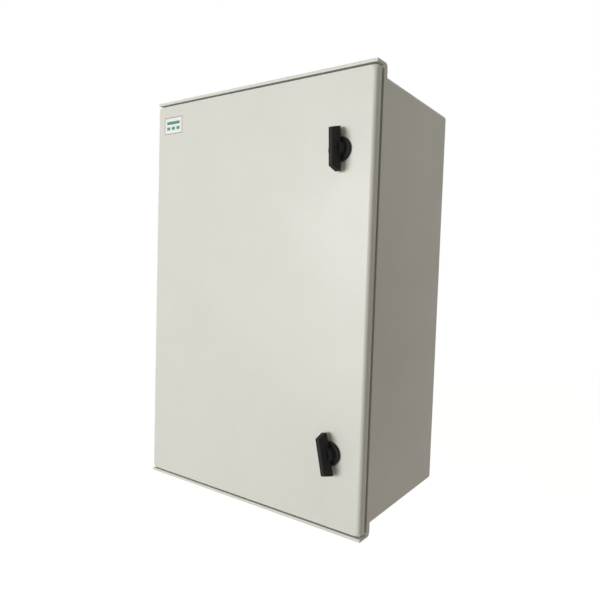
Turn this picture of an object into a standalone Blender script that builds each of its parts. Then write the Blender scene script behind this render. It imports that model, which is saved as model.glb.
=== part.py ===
"""Wall-mounted DC combiner box: a moulded polyester case with a hinged door, and six fused strings inside it.

Metres, +Z up, the front faces -Y. The origin is the centre of the flat back face, which lies on the wall.
"Out" is the distance in front of that wall, so y = -out.
"""

import math

import bmesh
import bpy

MM = 0.001

# Clearances
SEAT_GAP = 0.3 * MM            # between pieces that rest on each other
RUNNING_GAP = 0.4 * MM         # between pieces that move past each other

# Case: one moulding with walls, back, front frame, rain lips and sealing rim
WIDTH = 430 * MM               # over the side walls, at the front
HEIGHT = 650 * MM              # over the rain lips
DEPTH = 243 * MM               # wall to the front edge of the lips
WALL = 4 * MM
BACK_WALL = 4.5 * MM
DRAFT = 4 * MM                 # lean of each wall between its front edge and the back
CASE_CORNER = 6 * MM           # radius of the four long edges
LIP = 4.5 * MM                 # thickness of a rain lip
LIP_RISE = 15.5 * MM           # lip's outer face above the wall that carries it
LIP_REACH = 27 * MM            # lip's front edge to the back of the frame
LIP_BEND = 5 * MM              # radius where the frame bends into the lip
LIP_END_STEP = 0.4 * MM        # parting step at both ends of a lip
FRAME_SIDE_BITE = 2 * MM       # how far the front frame is sunk into the side walls
FRAME_END_BITE = 1 * MM        # and into the top and bottom walls
SIDE_SETBACK = 18.5 * MM       # front edge of the side walls behind the lip's edge
RIM = 3 * MM                   # thickness of the sealing rim
RIM_SIDE_INSET = 11 * MM       # rim's outer face inside the side wall's outer face
RIM_END_INSET = 4.5 * MM       # the same at the top and bottom walls
RIM_SETBACK = 7 * MM           # rim's edge behind the lip's edge
FIXING_RADIUS = 4.25 * MM      # holes in the back for the wall screws
FIXING_INSET = 11 * MM         # their centres inside the inner walls

# Door: a tray between the lips
DOOR_GAP = 2.25 * MM           # door to each lip
DOOR_WALL = 3.5 * MM
DOOR_STAND = 1.5 * MM          # door's border in front of the lip's edge
SKIRT_SETBACK = 14.4 * MM      # rear edge of the skirts behind the lip's edge
DOOR_CORNER = 8 * MM           # radius of the door's four corners
DOOR_EDGE = 6 * MM             # radius of its upright edges
DOOR_END_EDGE = 2 * MM         # how far its top and bottom edges are rounded in
FIELD_INSET = 14 * MM          # shallow field in the door's face, from the door's edges
FIELD_SLOPE = 2.5 * MM         # width of the slope round the field
FIELD_DEPTH = 0.3 * MM
FIELD_CORNER = 6 * MM
GASKET_WIDTH = 7 * MM
GASKET_RIB = 2.5 * MM          # rib inside the gasket
GASKET_RIB_HEIGHT = 6 * MM
SEAL_CORNER = 8 * MM           # corner radius of rim and gasket

# Hinge: a pin in each lip enters a boss in the door's left corner
HINGE_INSET = 4 * MM           # axis from the left edge
HINGE_SETBACK = 10.5 * MM      # axis behind the lip's edge
PIN_RADIUS = 2 * MM
HINGE_BOSS = 15 * MM           # length of the boss
HINGE_BOSS_WALL = 2.2 * MM     # material beside the bore
HINGE_BOSS_BACK = 1.4 * MM     # material behind the bore

# Quarter-turn locks
KNOB_FROM_EDGE = 52.5 * MM     # axis from the door's right edge
KNOB_FROM_END = 114 * MM       # axis from the box's top and bottom
KNOB_LEANS = {"upper": 2.4, "lower": 12.7}   # degrees that each wing leans to the left as photographed
BEZEL_RADIUS = 17.5 * MM
BEZEL = 4.5 * MM               # height of the bezel
BEZEL_RING = 3 * MM            # width of its raised edge
BEZEL_DISH = 1 * MM            # depth inside that edge
BARREL_RADIUS = 11 * MM
BARREL = 17 * MM               # length of the threaded barrel behind the door's face
LOCK_BOSS = 2 * MM             # thicker ring inside the door
LOCK_NUT = 5 * MM              # thickness
LOCK_NUT_FLAT = 15 * MM        # axis to flat
SHAFT_RADIUS = 7 * MM
SPINDLE = 9 * MM               # square end that carries the tongue
SPINDLE_END = 2.5 * MM         # spindle past the tongue
HUB_RADIUS = 10.5 * MM
HUB_TOP_RADIUS = 8.4 * MM
HUB = 9 * MM                   # height of the hub under the wing
HUB_STRAIGHT = 5.4 * MM        # its straight part
WING_LIFT = 6.5 * MM           # wing's root in front of the door
WING_REACH = 25 * MM           # wing's edge in front of the door
WING_ROOT_LENGTH = 61 * MM
WING_EDGE_LENGTH = 51.5 * MM
WING_ROOT = 9.4 * MM           # thickness at the root
WING_EDGE = 6.4 * MM           # thickness at the edge
WING_BEVEL = 0.8 * MM
TONGUE = 3 * MM
TONGUE_WIDTH = 16 * MM
TONGUE_HEAD = 11.2 * MM        # radius round the spindle
TONGUE_BITE = 7 * MM           # how far the turned tongue reaches behind the rim
TONGUE_RUN = 1.2 * MM          # tongue to the back of the frame

# Mounting plate and rails
PLATE_WIDTH = 370 * MM
PLATE_HEIGHT = 560 * MM
PLATE = 2.5 * MM
PLATE_CORNER = 8 * MM
BOSS_HEIGHT = 14 * MM          # moulded bosses under the plate
BOSS_RADIUS = 9 * MM
BOSS_INSET = 18 * MM           # boss from the plate's edges
BOSS_HOLE = 3 * MM             # screw hole in boss and plate
BOSS_HOLE_DEPTH = 11 * MM
RAIL_HEIGHT = 35 * MM
RAIL_HAT = 27 * MM
RAIL_DEPTH = 7.5 * MM
RAIL_SHEET = 1 * MM
RAIL_LENGTH = 330 * MM
RAIL_SLOT = 15 * MM
RAIL_SLOT_RADIUS = 3.1 * MM
RAIL_SLOT_PITCH = 25 * MM
UPPER_RAIL = 110 * MM          # height of each rail above the middle
LOWER_RAIL = -60 * MM
HOOK = 5.2 * MM                # how far the devices reach behind the rail's front
STOP_WIDTH = 9 * MM            # rail end stops
STOP_HALF = 24 * MM
STOP_REACH = 22 * MM
ROW_GAP = 20 * MM              # fuses to surge arrester
MODULE_GAP = 0.4 * MM          # between neighbours on a rail

# Fuse holders: base, tilting carrier and link
STRINGS = 6
FUSE_RADIUS = 5.15 * MM
FUSE_LENGTH = 38 * MM
FUSE_CAP = 10 * MM             # length of a contact cap
FUSE_CAP_STEP = 0.25 * MM      # cap's edge above the tube
CARRIER_WALL = 0.8 * MM
CHEEK = 2.3 * MM               # side walls of the base
FUSE_END_SPACE = 3.8 * MM      # cavity past each end of the link
FUSE_FLOOR = 2 * MM            # wall between cavity and terminal
TERMINAL = 15.7 * MM           # height of a terminal block
SHOULDER = 38 * MM             # terminal blocks in front of the rail
CHEEK_REACH = 50 * MM          # side walls in front of the rail
CAVITY_FLOOR = 15 * MM
PIVOT_RISE = 6.8 * MM          # carrier's pivot above the cavity's lower end
PIVOT_BACK = 5 * MM            # and behind the side walls' front edge
TRUNNION_RADIUS = 2.2 * MM
CARRIER_DROP = 3.5 * MM        # carrier below its pivot
CARRIER_TOE = 4.5 * MM         # carrier in front of its pivot, under the grip
FUSE_BEHIND = 12 * MM          # link's axis behind the pivot
FUSE_BACKING = 1.5 * MM        # carrier's walls past the link
GRIP_LIFT = 5.5 * MM           # grip above the pivot
GRIP_REACH = 12 * MM           # grip in front of the side walls
GRIP_ROOT = 3 * MM             # carrier's neck inside the grip
NECK_INSET = 1 * MM            # neck's ends inside the grip's ends
SLOT_HALF = 3.5 * MM           # terminal opening, half width
SLOT_LOW = 18 * MM             # terminal opening in front of the rail, from
SLOT_HIGH = 26 * MM            # to
CLAMP_DEPTH = 3 * MM           # terminal opening down to its closed clamp
SCREW_RADIUS = 2.8 * MM        # screw well in a shoulder
SCREW_DEPTH = 3 * MM           # down to the screw's head

# Comb busbar over the fuse bases
COMB = 3 * MM                  # thickness
COMB_HEIGHT = 12 * MM
COMB_TOOTH = 4 * MM            # width of a tooth
COMB_TOOTH_STEP = 0.5 * MM     # tooth's faces inside the bar's
COMB_TOOTH_DEPTH = 9 * MM
COMB_TOOTH_ROOM = 3 * MM       # terminal below the tooth's end
COMB_TAB = 22 * MM             # free end for the output lug
COMB_TAB_HOLE = 4.25 * MM

# Surge arrester
ARRESTER_POLES = 3
CARTRIDGE = 17.6 * MM          # width of a cartridge
CARTRIDGE_HALF = 22.5 * MM
CARTRIDGE_REACH = 66 * MM
CARTRIDGE_CHAMFER = 8 * MM
BLADE = 1.2 * MM               # plug blades
BLADE_WIDTH = 6 * MM
BLADE_LENGTH = 8 * MM
BLADE_ROOM = 1 * MM            # slot past the blade's end
BLADE_RISE = 12 * MM
ARRESTER_HALF = 45 * MM
ARRESTER_FLOOR = 19 * MM
ARRESTER_SHOULDER = 44 * MM
ARRESTER_END = 1.5 * MM        # end walls of the base

# Breaker
POLES = 4
POLE = 18 * MM
BREAKER_HALF = 42.5 * MM
BREAKER_SHOULDER = 46 * MM
BREAKER_NOSE = 64 * MM
BREAKER_NOSE_HALF = 23 * MM
POLE_SEAM = 0.6 * MM           # width and depth of the seams between poles
TOGGLE_BACK = 6 * MM           # toggle's axis behind the nose
TOGGLE_RADIUS = 8 * MM
TOGGLE_HALF = 30 * MM          # half length over the tied levers
TOGGLE_REACH = 23 * MM
TOGGLE_TIP = 2 * MM            # half thickness of the lever
LEVER_INSET = 1 * MM           # lever's ends inside the barrel's ends
TOGGLE_TILT = 25               # degrees up from straight ahead, switched on

# Terminal bars on the plate
BAR = 8 * MM                   # thickness
BAR_HEIGHT = 14 * MM
BAR_LENGTH = 150 * MM
BAR_MIDDLE = -190 * MM         # height of both bars above the middle
BAR_SPREAD = 85 * MM           # each bar's middle from the box's middle
BAR_STANDOFF = 22 * MM
BAR_FOOT = 18 * MM             # length of a foot along the bar
BAR_FOOT_INSET = 12 * MM
BAR_FOOT_STEP = 1 * MM         # foot's faces inside the bar's
BAR_SCREWS = 7
BAR_SCREW_RADIUS = 4 * MM
BAR_SCREW_RISE = 3 * MM
BAR_SCREW_PITCH = 18 * MM
SUPPORT_BASE = 5 * MM          # base strip of the insulating support
SUPPORT_STEP = 1 * MM          # its ends inside the bar's

# Cable glands in the bottom wall
STRING_THREAD = 10 * MM        # thread radii
OUTPUT_THREAD = 12.5 * MM
EARTH_THREAD = 8 * MM
STRING_GLAND_OUT = 150 * MM
STRING_GLAND_PITCH = 46 * MM
OUTPUT_GLAND_OUT = 85 * MM
OUTPUT_GLAND_PITCH = 46 * MM
GLAND_FLAT = 3 * MM            # hexagon's flat past the thread
GLAND_WALL = 3.5 * MM          # thread to bore
GLAND_HEX = 6 * MM             # height of the fixed hexagon
GLAND_CAP = 10 * MM            # straight part of the cap
GLAND_CAP_STEP = 1 * MM        # cap's radius inside the hexagon's flats
GLAND_DOME = 6 * MM
GLAND_LAND = 2 * MM            # flat ring round the bore's mouth
GLAND_NUT = 5 * MM
GLAND_TAIL = 2 * MM            # thread past the locknut

# Facets
ROUND = 24                     # sides of round pieces that show
SMALL = 12                     # sides of small ones
HEX_ROUND = 12                 # points of a hexagon and of the circles that meet it
CORNER_STEPS = 3               # facets of a rounded corner
EDGE_STEPS = 6                 # facets of a larger round
SLOT_STEPS = 3                 # facets of a slot's round end
SMOOTH_ANGLE = math.radians(35)
OVERSHOOT = 5 * MM             # how far a cutter runs past the face that it opens

# Places that follow from the sizes above
half_width = WIDTH / 2
half_height = HEIGHT / 2
body_half = half_height - LIP_RISE
frame_back = DEPTH - LIP_REACH
frame_front = frame_back + WALL
side_front = DEPTH - SIDE_SETBACK
rim_half = (half_width - RIM_SIDE_INSET, body_half - RIM_END_INSET)
door_half = half_height - LIP - DOOR_GAP
border_front = DEPTH + DOOR_STAND
door_front = border_front - FIELD_DEPTH
door_inside = border_front - DOOR_WALL
skirt_back = DEPTH - SKIRT_SETBACK
hinge_x = -half_width + HINGE_INSET
hinge_out = DEPTH - HINGE_SETBACK
pin_bore = PIN_RADIUS + SEAT_GAP
bore_end = door_half - HINGE_BOSS + DOOR_WALL / 2
knob_x = half_width - KNOB_FROM_EDGE
knob_rise = half_height - KNOB_FROM_END
tongue_front = frame_back - TONGUE_RUN
tongue_length = KNOB_FROM_EDGE - RIM_SIDE_INSET - RIM + TONGUE_BITE
plate_seat = BACK_WALL + BOSS_HEIGHT
plate_front = plate_seat + SEAT_GAP + PLATE
rail_back = plate_front + SEAT_GAP
rail_front = rail_back + RAIL_DEPTH

carrier_half = FUSE_RADIUS + SEAT_GAP + CARRIER_WALL
fuse_half = carrier_half + RUNNING_GAP + CHEEK
fuse_pitch = 2 * fuse_half + MODULE_GAP
cavity_half = FUSE_LENGTH / 2 + FUSE_END_SPACE
nose_half = cavity_half + FUSE_FLOOR
base_half = nose_half + TERMINAL
pivot_out = CHEEK_REACH - PIVOT_BACK
pivot_rise = PIVOT_RISE - cavity_half
carrier_sweep = cavity_half - RUNNING_GAP - pivot_rise
cartridge_pitch = CARTRIDGE + MODULE_GAP
arrester_half_width = ARRESTER_POLES * cartridge_pitch / 2 + ARRESTER_END
row_width = STRINGS * fuse_pitch + ROW_GAP + 2 * arrester_half_width
row_left = -row_width / 2
arrester_x = row_width / 2 - arrester_half_width
fuse_places = [row_left + (i + 0.5) * fuse_pitch for i in range(STRINGS)]
breaker_half_width = POLES * POLE / 2
toggle_out = BREAKER_NOSE - TOGGLE_BACK

# How an outline's two numbers and the length along each axis become a point
PLACE = {
    "X": lambda a, b, along: (along, -a, b),
    "OUT": lambda a, b, along: (a, -along, b),
    "Z": lambda a, b, along: (a, -b, along),
}


def clear_scene():
    for leftover in list(bpy.data.objects):
        bpy.data.objects.remove(leftover, do_unlink=True)


def colour(code):
    """Linear colour of an sRGB hex code."""
    channels = [int(code[i:i + 2], 16) / 255 for i in (0, 2, 4)]
    linear = [c / 12.92 if c <= 0.04045 else ((c + 0.055) / 1.055) ** 2.4 for c in channels]
    return (*linear, 1)


def material(name, code, roughness, metallic=0.0):
    look = bpy.data.materials.new(name)
    look.use_nodes = True
    shader = look.node_tree.nodes["Principled BSDF"]
    shader.inputs["Base Color"].default_value = colour(code)
    shader.inputs["Roughness"].default_value = roughness
    shader.inputs["Metallic"].default_value = metallic
    return look


def arc(middle, radius, start, end, steps):
    """Points on an arc, by angles in degrees."""
    angles = [math.radians(start + (end - start) * i / steps) for i in range(steps + 1)]
    return [(middle[0] + radius * math.cos(a), middle[1] + radius * math.sin(a)) for a in angles]


def circle(radius, sides, middle=(0, 0)):
    return arc(middle, radius, 0, 360, sides)[:-1]


def rectangle(half_a, half_b, middle=(0, 0)):
    a, b = middle
    return [(a - half_a, b - half_b), (a + half_a, b - half_b),
            (a + half_a, b + half_b), (a - half_a, b + half_b)]


def rounded_rectangle(half_a, half_b, radius):
    a = half_a - radius
    b = half_b - radius
    corners = [((a, b), 0), ((-a, b), 90), ((-a, -b), 180), ((a, -b), 270)]
    return [point for middle, start in corners
            for point in arc(middle, radius, start, start + 90, CORNER_STEPS)]


def hexagon(flat):
    """Points at the corners and the middles of the flats."""
    radii = [flat / math.cos(math.pi / 6), flat]
    return [circle(radii[i % 2], HEX_ROUND)[i] for i in range(HEX_ROUND)]


def mirrored(outline):
    return [(a, -b) for a, b in outline]


def turned(angle, outline):
    """An outline turned about its origin, in degrees."""
    c = math.cos(math.radians(angle))
    s = math.sin(math.radians(angle))
    return [(a * c - b * s, a * s + b * c) for a, b in outline]


def loft(name, axis, sections, ring=False):
    """A solid skinned over outlines along an axis, with flat ends, or closed on itself as a ring."""
    mesh = bmesh.new()
    loops = [[mesh.verts.new(PLACE[axis](a, b, along)) for a, b in outline] for outline, along in sections]
    steps = list(zip(loops, loops[1:]))
    if ring:
        steps.append((loops[-1], loops[0]))
    else:
        mesh.faces.new(loops[0])
        mesh.faces.new(loops[-1])
    for near, far in steps:
        for i, corner in enumerate(near):
            j = (i + 1) % len(near)
            mesh.faces.new((corner, near[j], far[j], far[i]))
    bmesh.ops.recalc_face_normals(mesh, faces=mesh.faces)
    data = bpy.data.meshes.new(name)
    mesh.to_mesh(data)
    mesh.free()
    piece = bpy.data.objects.new(name, data)
    bpy.context.collection.objects.link(piece)
    return piece


def extruded(name, axis, outline, low, high):
    return loft(name, axis, [(outline, low), (outline, high)])


def block(name, x, out, z):
    """A box between two values on each axis."""
    outline = [(x[0], z[0]), (x[1], z[0]), (x[1], z[1]), (x[0], z[1])]
    return extruded(name, "OUT", outline, *out)


def revolved(name, axis, profile, sides, ring=False):
    """A turned piece from pairs of radius and length along the axis."""
    return loft(name, axis, [(circle(radius, sides), along) for radius, along in profile], ring)


def combine(piece, operation, tools, solver):
    """Applies one Boolean for each tool and deletes the tools."""
    for tool in tools:
        step = piece.modifiers.new(tool.name, "BOOLEAN")
        step.operation = operation
        step.solver = solver
        step.object = tool
    graph = bpy.context.evaluated_depsgraph_get()
    shape = bpy.data.meshes.new_from_object(piece.evaluated_get(graph))
    piece.modifiers.clear()
    piece.data = shape
    for tool in tools:
        bpy.data.objects.remove(tool, do_unlink=True)
    return piece


def joined(piece, *tools):
    return combine(piece, "UNION", tools, "EXACT")


def carved(piece, *tools, solver="EXACT"):
    return combine(piece, "DIFFERENCE", tools, solver)


def bevelled(piece, width, chosen, segments=1):
    """Bevels the edges whose two ends pass a test."""
    mesh = bmesh.new()
    mesh.from_mesh(piece.data)
    edges = [edge for edge in mesh.edges if chosen(edge)]
    bmesh.ops.bevel(mesh, geom=edges, offset=width, segments=segments, profile=0.5, affect="EDGES")
    mesh.to_mesh(piece.data)
    mesh.free()
    return piece


def finished(piece, look, place=(0, 0, 0), parent=None):
    """Gives a piece its material and shading and sets it in place, under a parent if it has one."""
    piece.data.name = piece.name
    piece.data.materials.clear()
    piece.data.materials.append(look)
    piece.data.polygons.foreach_set("material_index", [0] * len(piece.data.polygons))
    piece.data.shade_smooth()
    piece.data.set_sharp_from_angle(angle=SMOOTH_ANGLE)
    piece.location = place
    piece.parent = parent
    return piece


def copied(piece, name, place, parent=None):
    """Another piece with the same mesh."""
    twin = piece.copy()
    twin.name = name
    twin.location = place
    twin.parent = parent
    bpy.context.collection.objects.link(twin)
    return twin


def pivot(name, place, parent=None, turn=0):
    """An empty on a joint's axis, turned about the out direction by an angle in degrees."""
    axis = bpy.data.objects.new(name, None)
    axis.location = place
    axis.rotation_euler = (0, math.radians(-turn), 0)
    axis.parent = parent
    bpy.context.collection.objects.link(axis)
    return axis


def wall_half(out):
    """Outer half width and half height of the leaning walls at a distance from the back."""
    lean = DRAFT * (1 - out / side_front)
    return half_width - lean, body_half - lean


def case_section(out, inset=0.0):
    a, b = wall_half(out)
    return rounded_rectangle(a - inset, b - inset, max(CASE_CORNER - inset, WALL / 2)), out


def frame_section(half, out, inset=0.0):
    return rounded_rectangle(half[0] - inset, half[1] - inset, SEAL_CORNER), out


def bolt_circle(half_a, half_b):
    return [(a, b) for a in (-half_a, half_a) for b in (-half_b, half_b)]


plate_bosses = bolt_circle(PLATE_WIDTH / 2 - BOSS_INSET, PLATE_HEIGHT / 2 - BOSS_INSET)


def gland_list():
    """Name, place on the bottom wall and thread radius of each gland."""
    left = -STRING_GLAND_PITCH * (STRINGS - 1) / 2
    glands = [(f"string_gland_{i + 1}", left + i * STRING_GLAND_PITCH, STRING_GLAND_OUT, STRING_THREAD)
              for i in range(STRINGS)]
    glands.append(("output_gland_1", -OUTPUT_GLAND_PITCH, OUTPUT_GLAND_OUT, OUTPUT_THREAD))
    glands.append(("output_gland_2", 0.0, OUTPUT_GLAND_OUT, OUTPUT_THREAD))
    glands.append(("earth_gland", OUTPUT_GLAND_PITCH, OUTPUT_GLAND_OUT, EARTH_THREAD))
    return glands


def enclosure_body(look):
    """Leaning walls and back, with collars and cheeks for the lips, an inner frame and the sealing rim."""
    body = loft("enclosure_body", "OUT", [case_section(0), case_section(side_front)])
    mouth = case_section(side_front + OVERSHOOT, WALL)
    carved(body, loft("cavity", "OUT", [case_section(BACK_WALL, WALL), mouth]))

    root = body_half - WALL / 2
    under = half_height - LIP
    bend = arc((frame_back + LIP_BEND, half_height - LIP_BEND), LIP_BEND, 180, 90, CORNER_STEPS)
    rise = [(frame_back, root)] + bend
    collar = rise + [(DEPTH, half_height), (DEPTH, under), (frame_front, under), (frame_front, root)]
    cheek = rise + [(side_front, half_height), (side_front, root)]
    length = half_width - LIP_END_STEP
    collars = []
    for outline in (collar, mirrored(collar)):
        collars.append(extruded("collar", "X", outline, -length, length))
    for outline in (cheek, mirrored(cheek)):
        collars.append(extruded("left_cheek", "X", outline, -half_width, WALL - half_width))
        collars.append(extruded("right_cheek", "X", outline, half_width - WALL, half_width))

    in_wall = (half_width - WALL + FRAME_SIDE_BITE, body_half - WALL + FRAME_END_BITE)
    rim_edge = DEPTH - RIM_SETBACK
    rim = loft("rim", "OUT", [
        frame_section(in_wall, frame_back), frame_section(in_wall, frame_front),
        frame_section(rim_half, frame_front), frame_section(rim_half, rim_edge),
        frame_section(rim_half, rim_edge, RIM), frame_section(rim_half, frame_back, RIM)], ring=True)
    bosses = [extruded("boss", "OUT", circle(BOSS_RADIUS, SMALL, place), BACK_WALL / 2, plate_seat)
              for place in plate_bosses]
    joined(body, *collars, rim, *bosses)

    a, b = wall_half(BACK_WALL)
    inset = WALL + FIXING_INSET
    fixings = [extruded("fixing", "OUT", circle(FIXING_RADIUS, SMALL, place),
                        -OVERSHOOT, BACK_WALL + OVERSHOOT) for place in bolt_circle(a - inset, b - inset)]
    screw_holes = [extruded("hole", "OUT", circle(BOSS_HOLE, SMALL, place),
                            plate_seat - BOSS_HOLE_DEPTH, plate_seat + OVERSHOOT) for place in plate_bosses]
    gland_holes = [extruded("gland_hole", "Z", circle(thread + RUNNING_GAP, SMALL, (x, out)),
                            -body_half - OVERSHOOT, -body_half + DRAFT + WALL + OVERSHOOT)
                   for name, x, out, thread in gland_list()]
    pin_outline = circle(pin_bore, SMALL, (hinge_x, hinge_out))
    pin_holes = [extruded("pin_hole", "Z", pin_outline, low, low + LIP + 2 * OVERSHOOT)
                 for low in (under - OVERSHOOT, -half_height - OVERSHOOT)]
    carved(body, *fixings, *screw_holes, *gland_holes, *pin_holes, solver="MANIFOLD")
    return finished(body, look)


def hinge_pin(name, side, look):
    """A pin flush with the outside of one lip, reaching down into the door's boss."""
    outer = half_height - SEAT_GAP
    inner = bore_end + SEAT_GAP
    pin = extruded(name, "Z", circle(PIN_RADIUS, SMALL), side * inner, side * outer)
    return finished(pin, look, (hinge_x, -hinge_out, 0))


def door_outlines():
    """The door's outlines from its rear edge, round its edges, over the border and down into the field."""
    def outline(side, end):
        return rounded_rectangle(half_width - side, door_half - end, DOOR_CORNER - end)

    stages = [(outline(0, 0), skirt_back)]
    for across, out in arc((DOOR_EDGE, border_front - DOOR_EDGE), DOOR_EDGE, 180, 90, EDGE_STEPS):
        stages.append((outline(across, across * DOOR_END_EDGE / DOOR_EDGE), out))
    for inset, out in ((FIELD_INSET, border_front), (FIELD_INSET + FIELD_SLOPE, door_front)):
        stages.append((rounded_rectangle(half_width - inset, door_half - inset, FIELD_CORNER), out))
    return stages


def hinge_boss(side):
    """Fills the door's left corner round the pin."""
    inset = DOOR_WALL / 2
    corner = (DOOR_CORNER - half_width, door_half - DOOR_CORNER)
    inner = max(hinge_x + pin_bore + HINGE_BOSS_WALL, corner[0] + SEAT_GAP)
    low = door_half - HINGE_BOSS
    outline = [(inset - half_width, low), (inner, low), (inner, door_half - inset)]
    outline += arc(corner, DOOR_CORNER - inset, 90, 180, CORNER_STEPS)
    if side < 0:
        outline = mirrored(outline)
    rear = hinge_out - pin_bore - HINGE_BOSS_BACK
    return extruded("hinge_boss", "OUT", outline, rear, door_inside + SEAT_GAP)


def door_panel(look, axis):
    """A tray with the gasket's rib, the lock bosses and the hinge bosses inside."""
    door = loft("door_panel", "OUT", door_outlines())
    hollow = rounded_rectangle(half_width - DOOR_WALL, door_half - DOOR_WALL, DOOR_CORNER - DOOR_WALL)
    carved(door, extruded("hollow", "OUT", hollow, skirt_back - OVERSHOOT, door_inside))

    seal = gasket_half(-1)
    root = door_inside + DOOR_WALL / 2
    tip = door_inside - GASKET_RIB_HEIGHT
    rib = loft("rib", "OUT", [
        frame_section(seal, tip, SEAT_GAP), frame_section(seal, root, SEAT_GAP),
        frame_section(seal, root, GASKET_RIB), frame_section(seal, tip, GASKET_RIB)], ring=True)
    locks = [(knob_x, side * knob_rise) for side in (1, -1)]
    bosses = [extruded("lock_boss", "OUT", circle(BEZEL_RADIUS, ROUND, place), door_inside - LOCK_BOSS, root)
              for place in locks]
    joined(door, rib, *bosses, hinge_boss(1), hinge_boss(-1))

    lock_holes = [extruded("lock_hole", "OUT", circle(BARREL_RADIUS + RUNNING_GAP, ROUND, place),
                           door_inside - LOCK_BOSS - OVERSHOOT, door_front + OVERSHOOT) for place in locks]
    pin_outline = circle(pin_bore, SMALL, (hinge_x, hinge_out))
    bores = [extruded("bore", "Z", pin_outline, *sorted((side * bore_end, side * (door_half + OVERSHOOT))))
             for side in (1, -1)]
    carved(door, *lock_holes, *bores)
    return finished(door, look, tuple(-axis.location), axis)


def gasket_half(side):
    """Half sizes of the gasket's outer (1) or inner (-1) outline, centred on the rim's edge."""
    return tuple(half - RIM / 2 + side * GASKET_WIDTH / 2 for half in rim_half)


def door_gasket(look, axis):
    """A foamed strip between the door and the rim's edge."""
    back = DEPTH - RIM_SETBACK + SEAT_GAP
    front = door_inside - SEAT_GAP
    outer = gasket_half(1)
    inner = gasket_half(-1)
    gasket = loft("door_gasket", "OUT", [
        frame_section(outer, back), frame_section(outer, front),
        frame_section(inner, front), frame_section(inner, back)], ring=True)
    return finished(gasket, look, tuple(-axis.location), axis)


def lock_bezel(name, look, parent, place):
    """Dished ring on the door with the barrel that passes through it. Lengths are from the door's face."""
    bore = SHAFT_RADIUS + RUNNING_GAP
    dish = BEZEL - BEZEL_DISH
    ring = BEZEL_RADIUS - BEZEL_RING
    bezel = revolved(name, "OUT", [
        (BARREL_RADIUS, -BARREL), (BARREL_RADIUS, SEAT_GAP), (BEZEL_RADIUS, SEAT_GAP), (BEZEL_RADIUS, dish),
        (BEZEL_RADIUS - BEZEL_DISH, BEZEL), (ring, BEZEL), (ring - BEZEL_DISH, dish), (bore, dish),
        (bore, -BARREL)], ROUND, ring=True)
    return finished(bezel, look, place, parent)


def lock_nut(name, look, parent, place):
    """Hexagon nut on the barrel, seated on the boss inside the door."""
    front = door_inside - door_front - LOCK_BOSS - SEAT_GAP
    back = front - LOCK_NUT
    bore = circle((BARREL_RADIUS + RUNNING_GAP) / math.cos(math.pi / HEX_ROUND), HEX_ROUND)
    outer = hexagon(LOCK_NUT_FLAT)
    nut = loft(name, "OUT", [(outer, back), (outer, front), (bore, front), (bore, back)], ring=True)
    return finished(nut, look, place, parent)


def knob_wing():
    """A wing that tapers to its edge, with both ends leaning in."""
    wing = loft("wing", "OUT", [
        (rectangle(WING_ROOT / 2, WING_ROOT_LENGTH / 2), WING_LIFT),
        (rectangle(WING_EDGE / 2, WING_EDGE_LENGTH / 2), WING_REACH)])
    soft = WING_LIFT + WING_BEVEL
    return bevelled(wing, WING_BEVEL, lambda edge: any(-corner.co.y > soft for corner in edge.verts))


def lock_knob(name, look, parent):
    """Shaft, hub and wing in one moulding. Lengths are from the door's face."""
    shoulder = tongue_front + SEAT_GAP - door_front
    seat = BEZEL - BEZEL_DISH + SEAT_GAP
    knob = revolved(name, "OUT", [
        (SHAFT_RADIUS, shoulder), (SHAFT_RADIUS, seat), (HUB_RADIUS, seat),
        (HUB_RADIUS, seat + HUB_STRAIGHT), (HUB_TOP_RADIUS, seat + HUB)], ROUND)
    end = shoulder - SEAT_GAP - TONGUE - SPINDLE_END
    spindle = extruded("spindle", "OUT", rectangle(SPINDLE / 2, SPINDLE / 2), end, shoulder + OVERSHOOT)
    joined(knob, knob_wing(), spindle)
    return finished(knob, look, parent=parent)


def lock_tongue(name, look, parent):
    """Flat steel cam on the spindle's square, pointing down with the wing."""
    front = tongue_front - door_front
    half = TONGUE_WIDTH / 2
    tip = half - tongue_length
    start = -math.degrees(math.acos(half / TONGUE_HEAD))
    outline = arc((0, 0), TONGUE_HEAD, start, 180 - start, SMALL) + arc((0, tip), half, 180, 360, EDGE_STEPS)
    tongue = extruded(name, "OUT", outline, front - TONGUE, front)
    side = SPINDLE / 2 + SEAT_GAP
    back = front - TONGUE - OVERSHOOT
    carved(tongue, extruded("square", "OUT", rectangle(side, side), back, front + OVERSHOOT))
    return finished(tongue, look, parent=parent)


def mounting_plate(look):
    outline = rounded_rectangle(PLATE_WIDTH / 2, PLATE_HEIGHT / 2, PLATE_CORNER)
    plate = extruded("mounting_plate", "OUT", outline, plate_seat + SEAT_GAP, plate_front)
    holes = [extruded("hole", "OUT", circle(BOSS_HOLE, SMALL, place),
                      plate_seat - OVERSHOOT, plate_front + OVERSHOOT) for place in plate_bosses]
    carved(plate, *holes)
    return finished(plate, look)


def rail_profile():
    """Top-hat section: brims to the front, hat against the plate."""
    brim = RAIL_HEIGHT / 2
    hat = RAIL_HAT / 2
    inside = hat - RAIL_SHEET
    upper = [(-RAIL_SHEET, hat), (-RAIL_SHEET, brim), (0, brim), (0, inside),
             (RAIL_SHEET - RAIL_DEPTH, inside)]
    lower = mirrored(reversed(upper))
    return [(-RAIL_DEPTH, -hat), (-RAIL_DEPTH, hat)] + upper + lower


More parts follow.
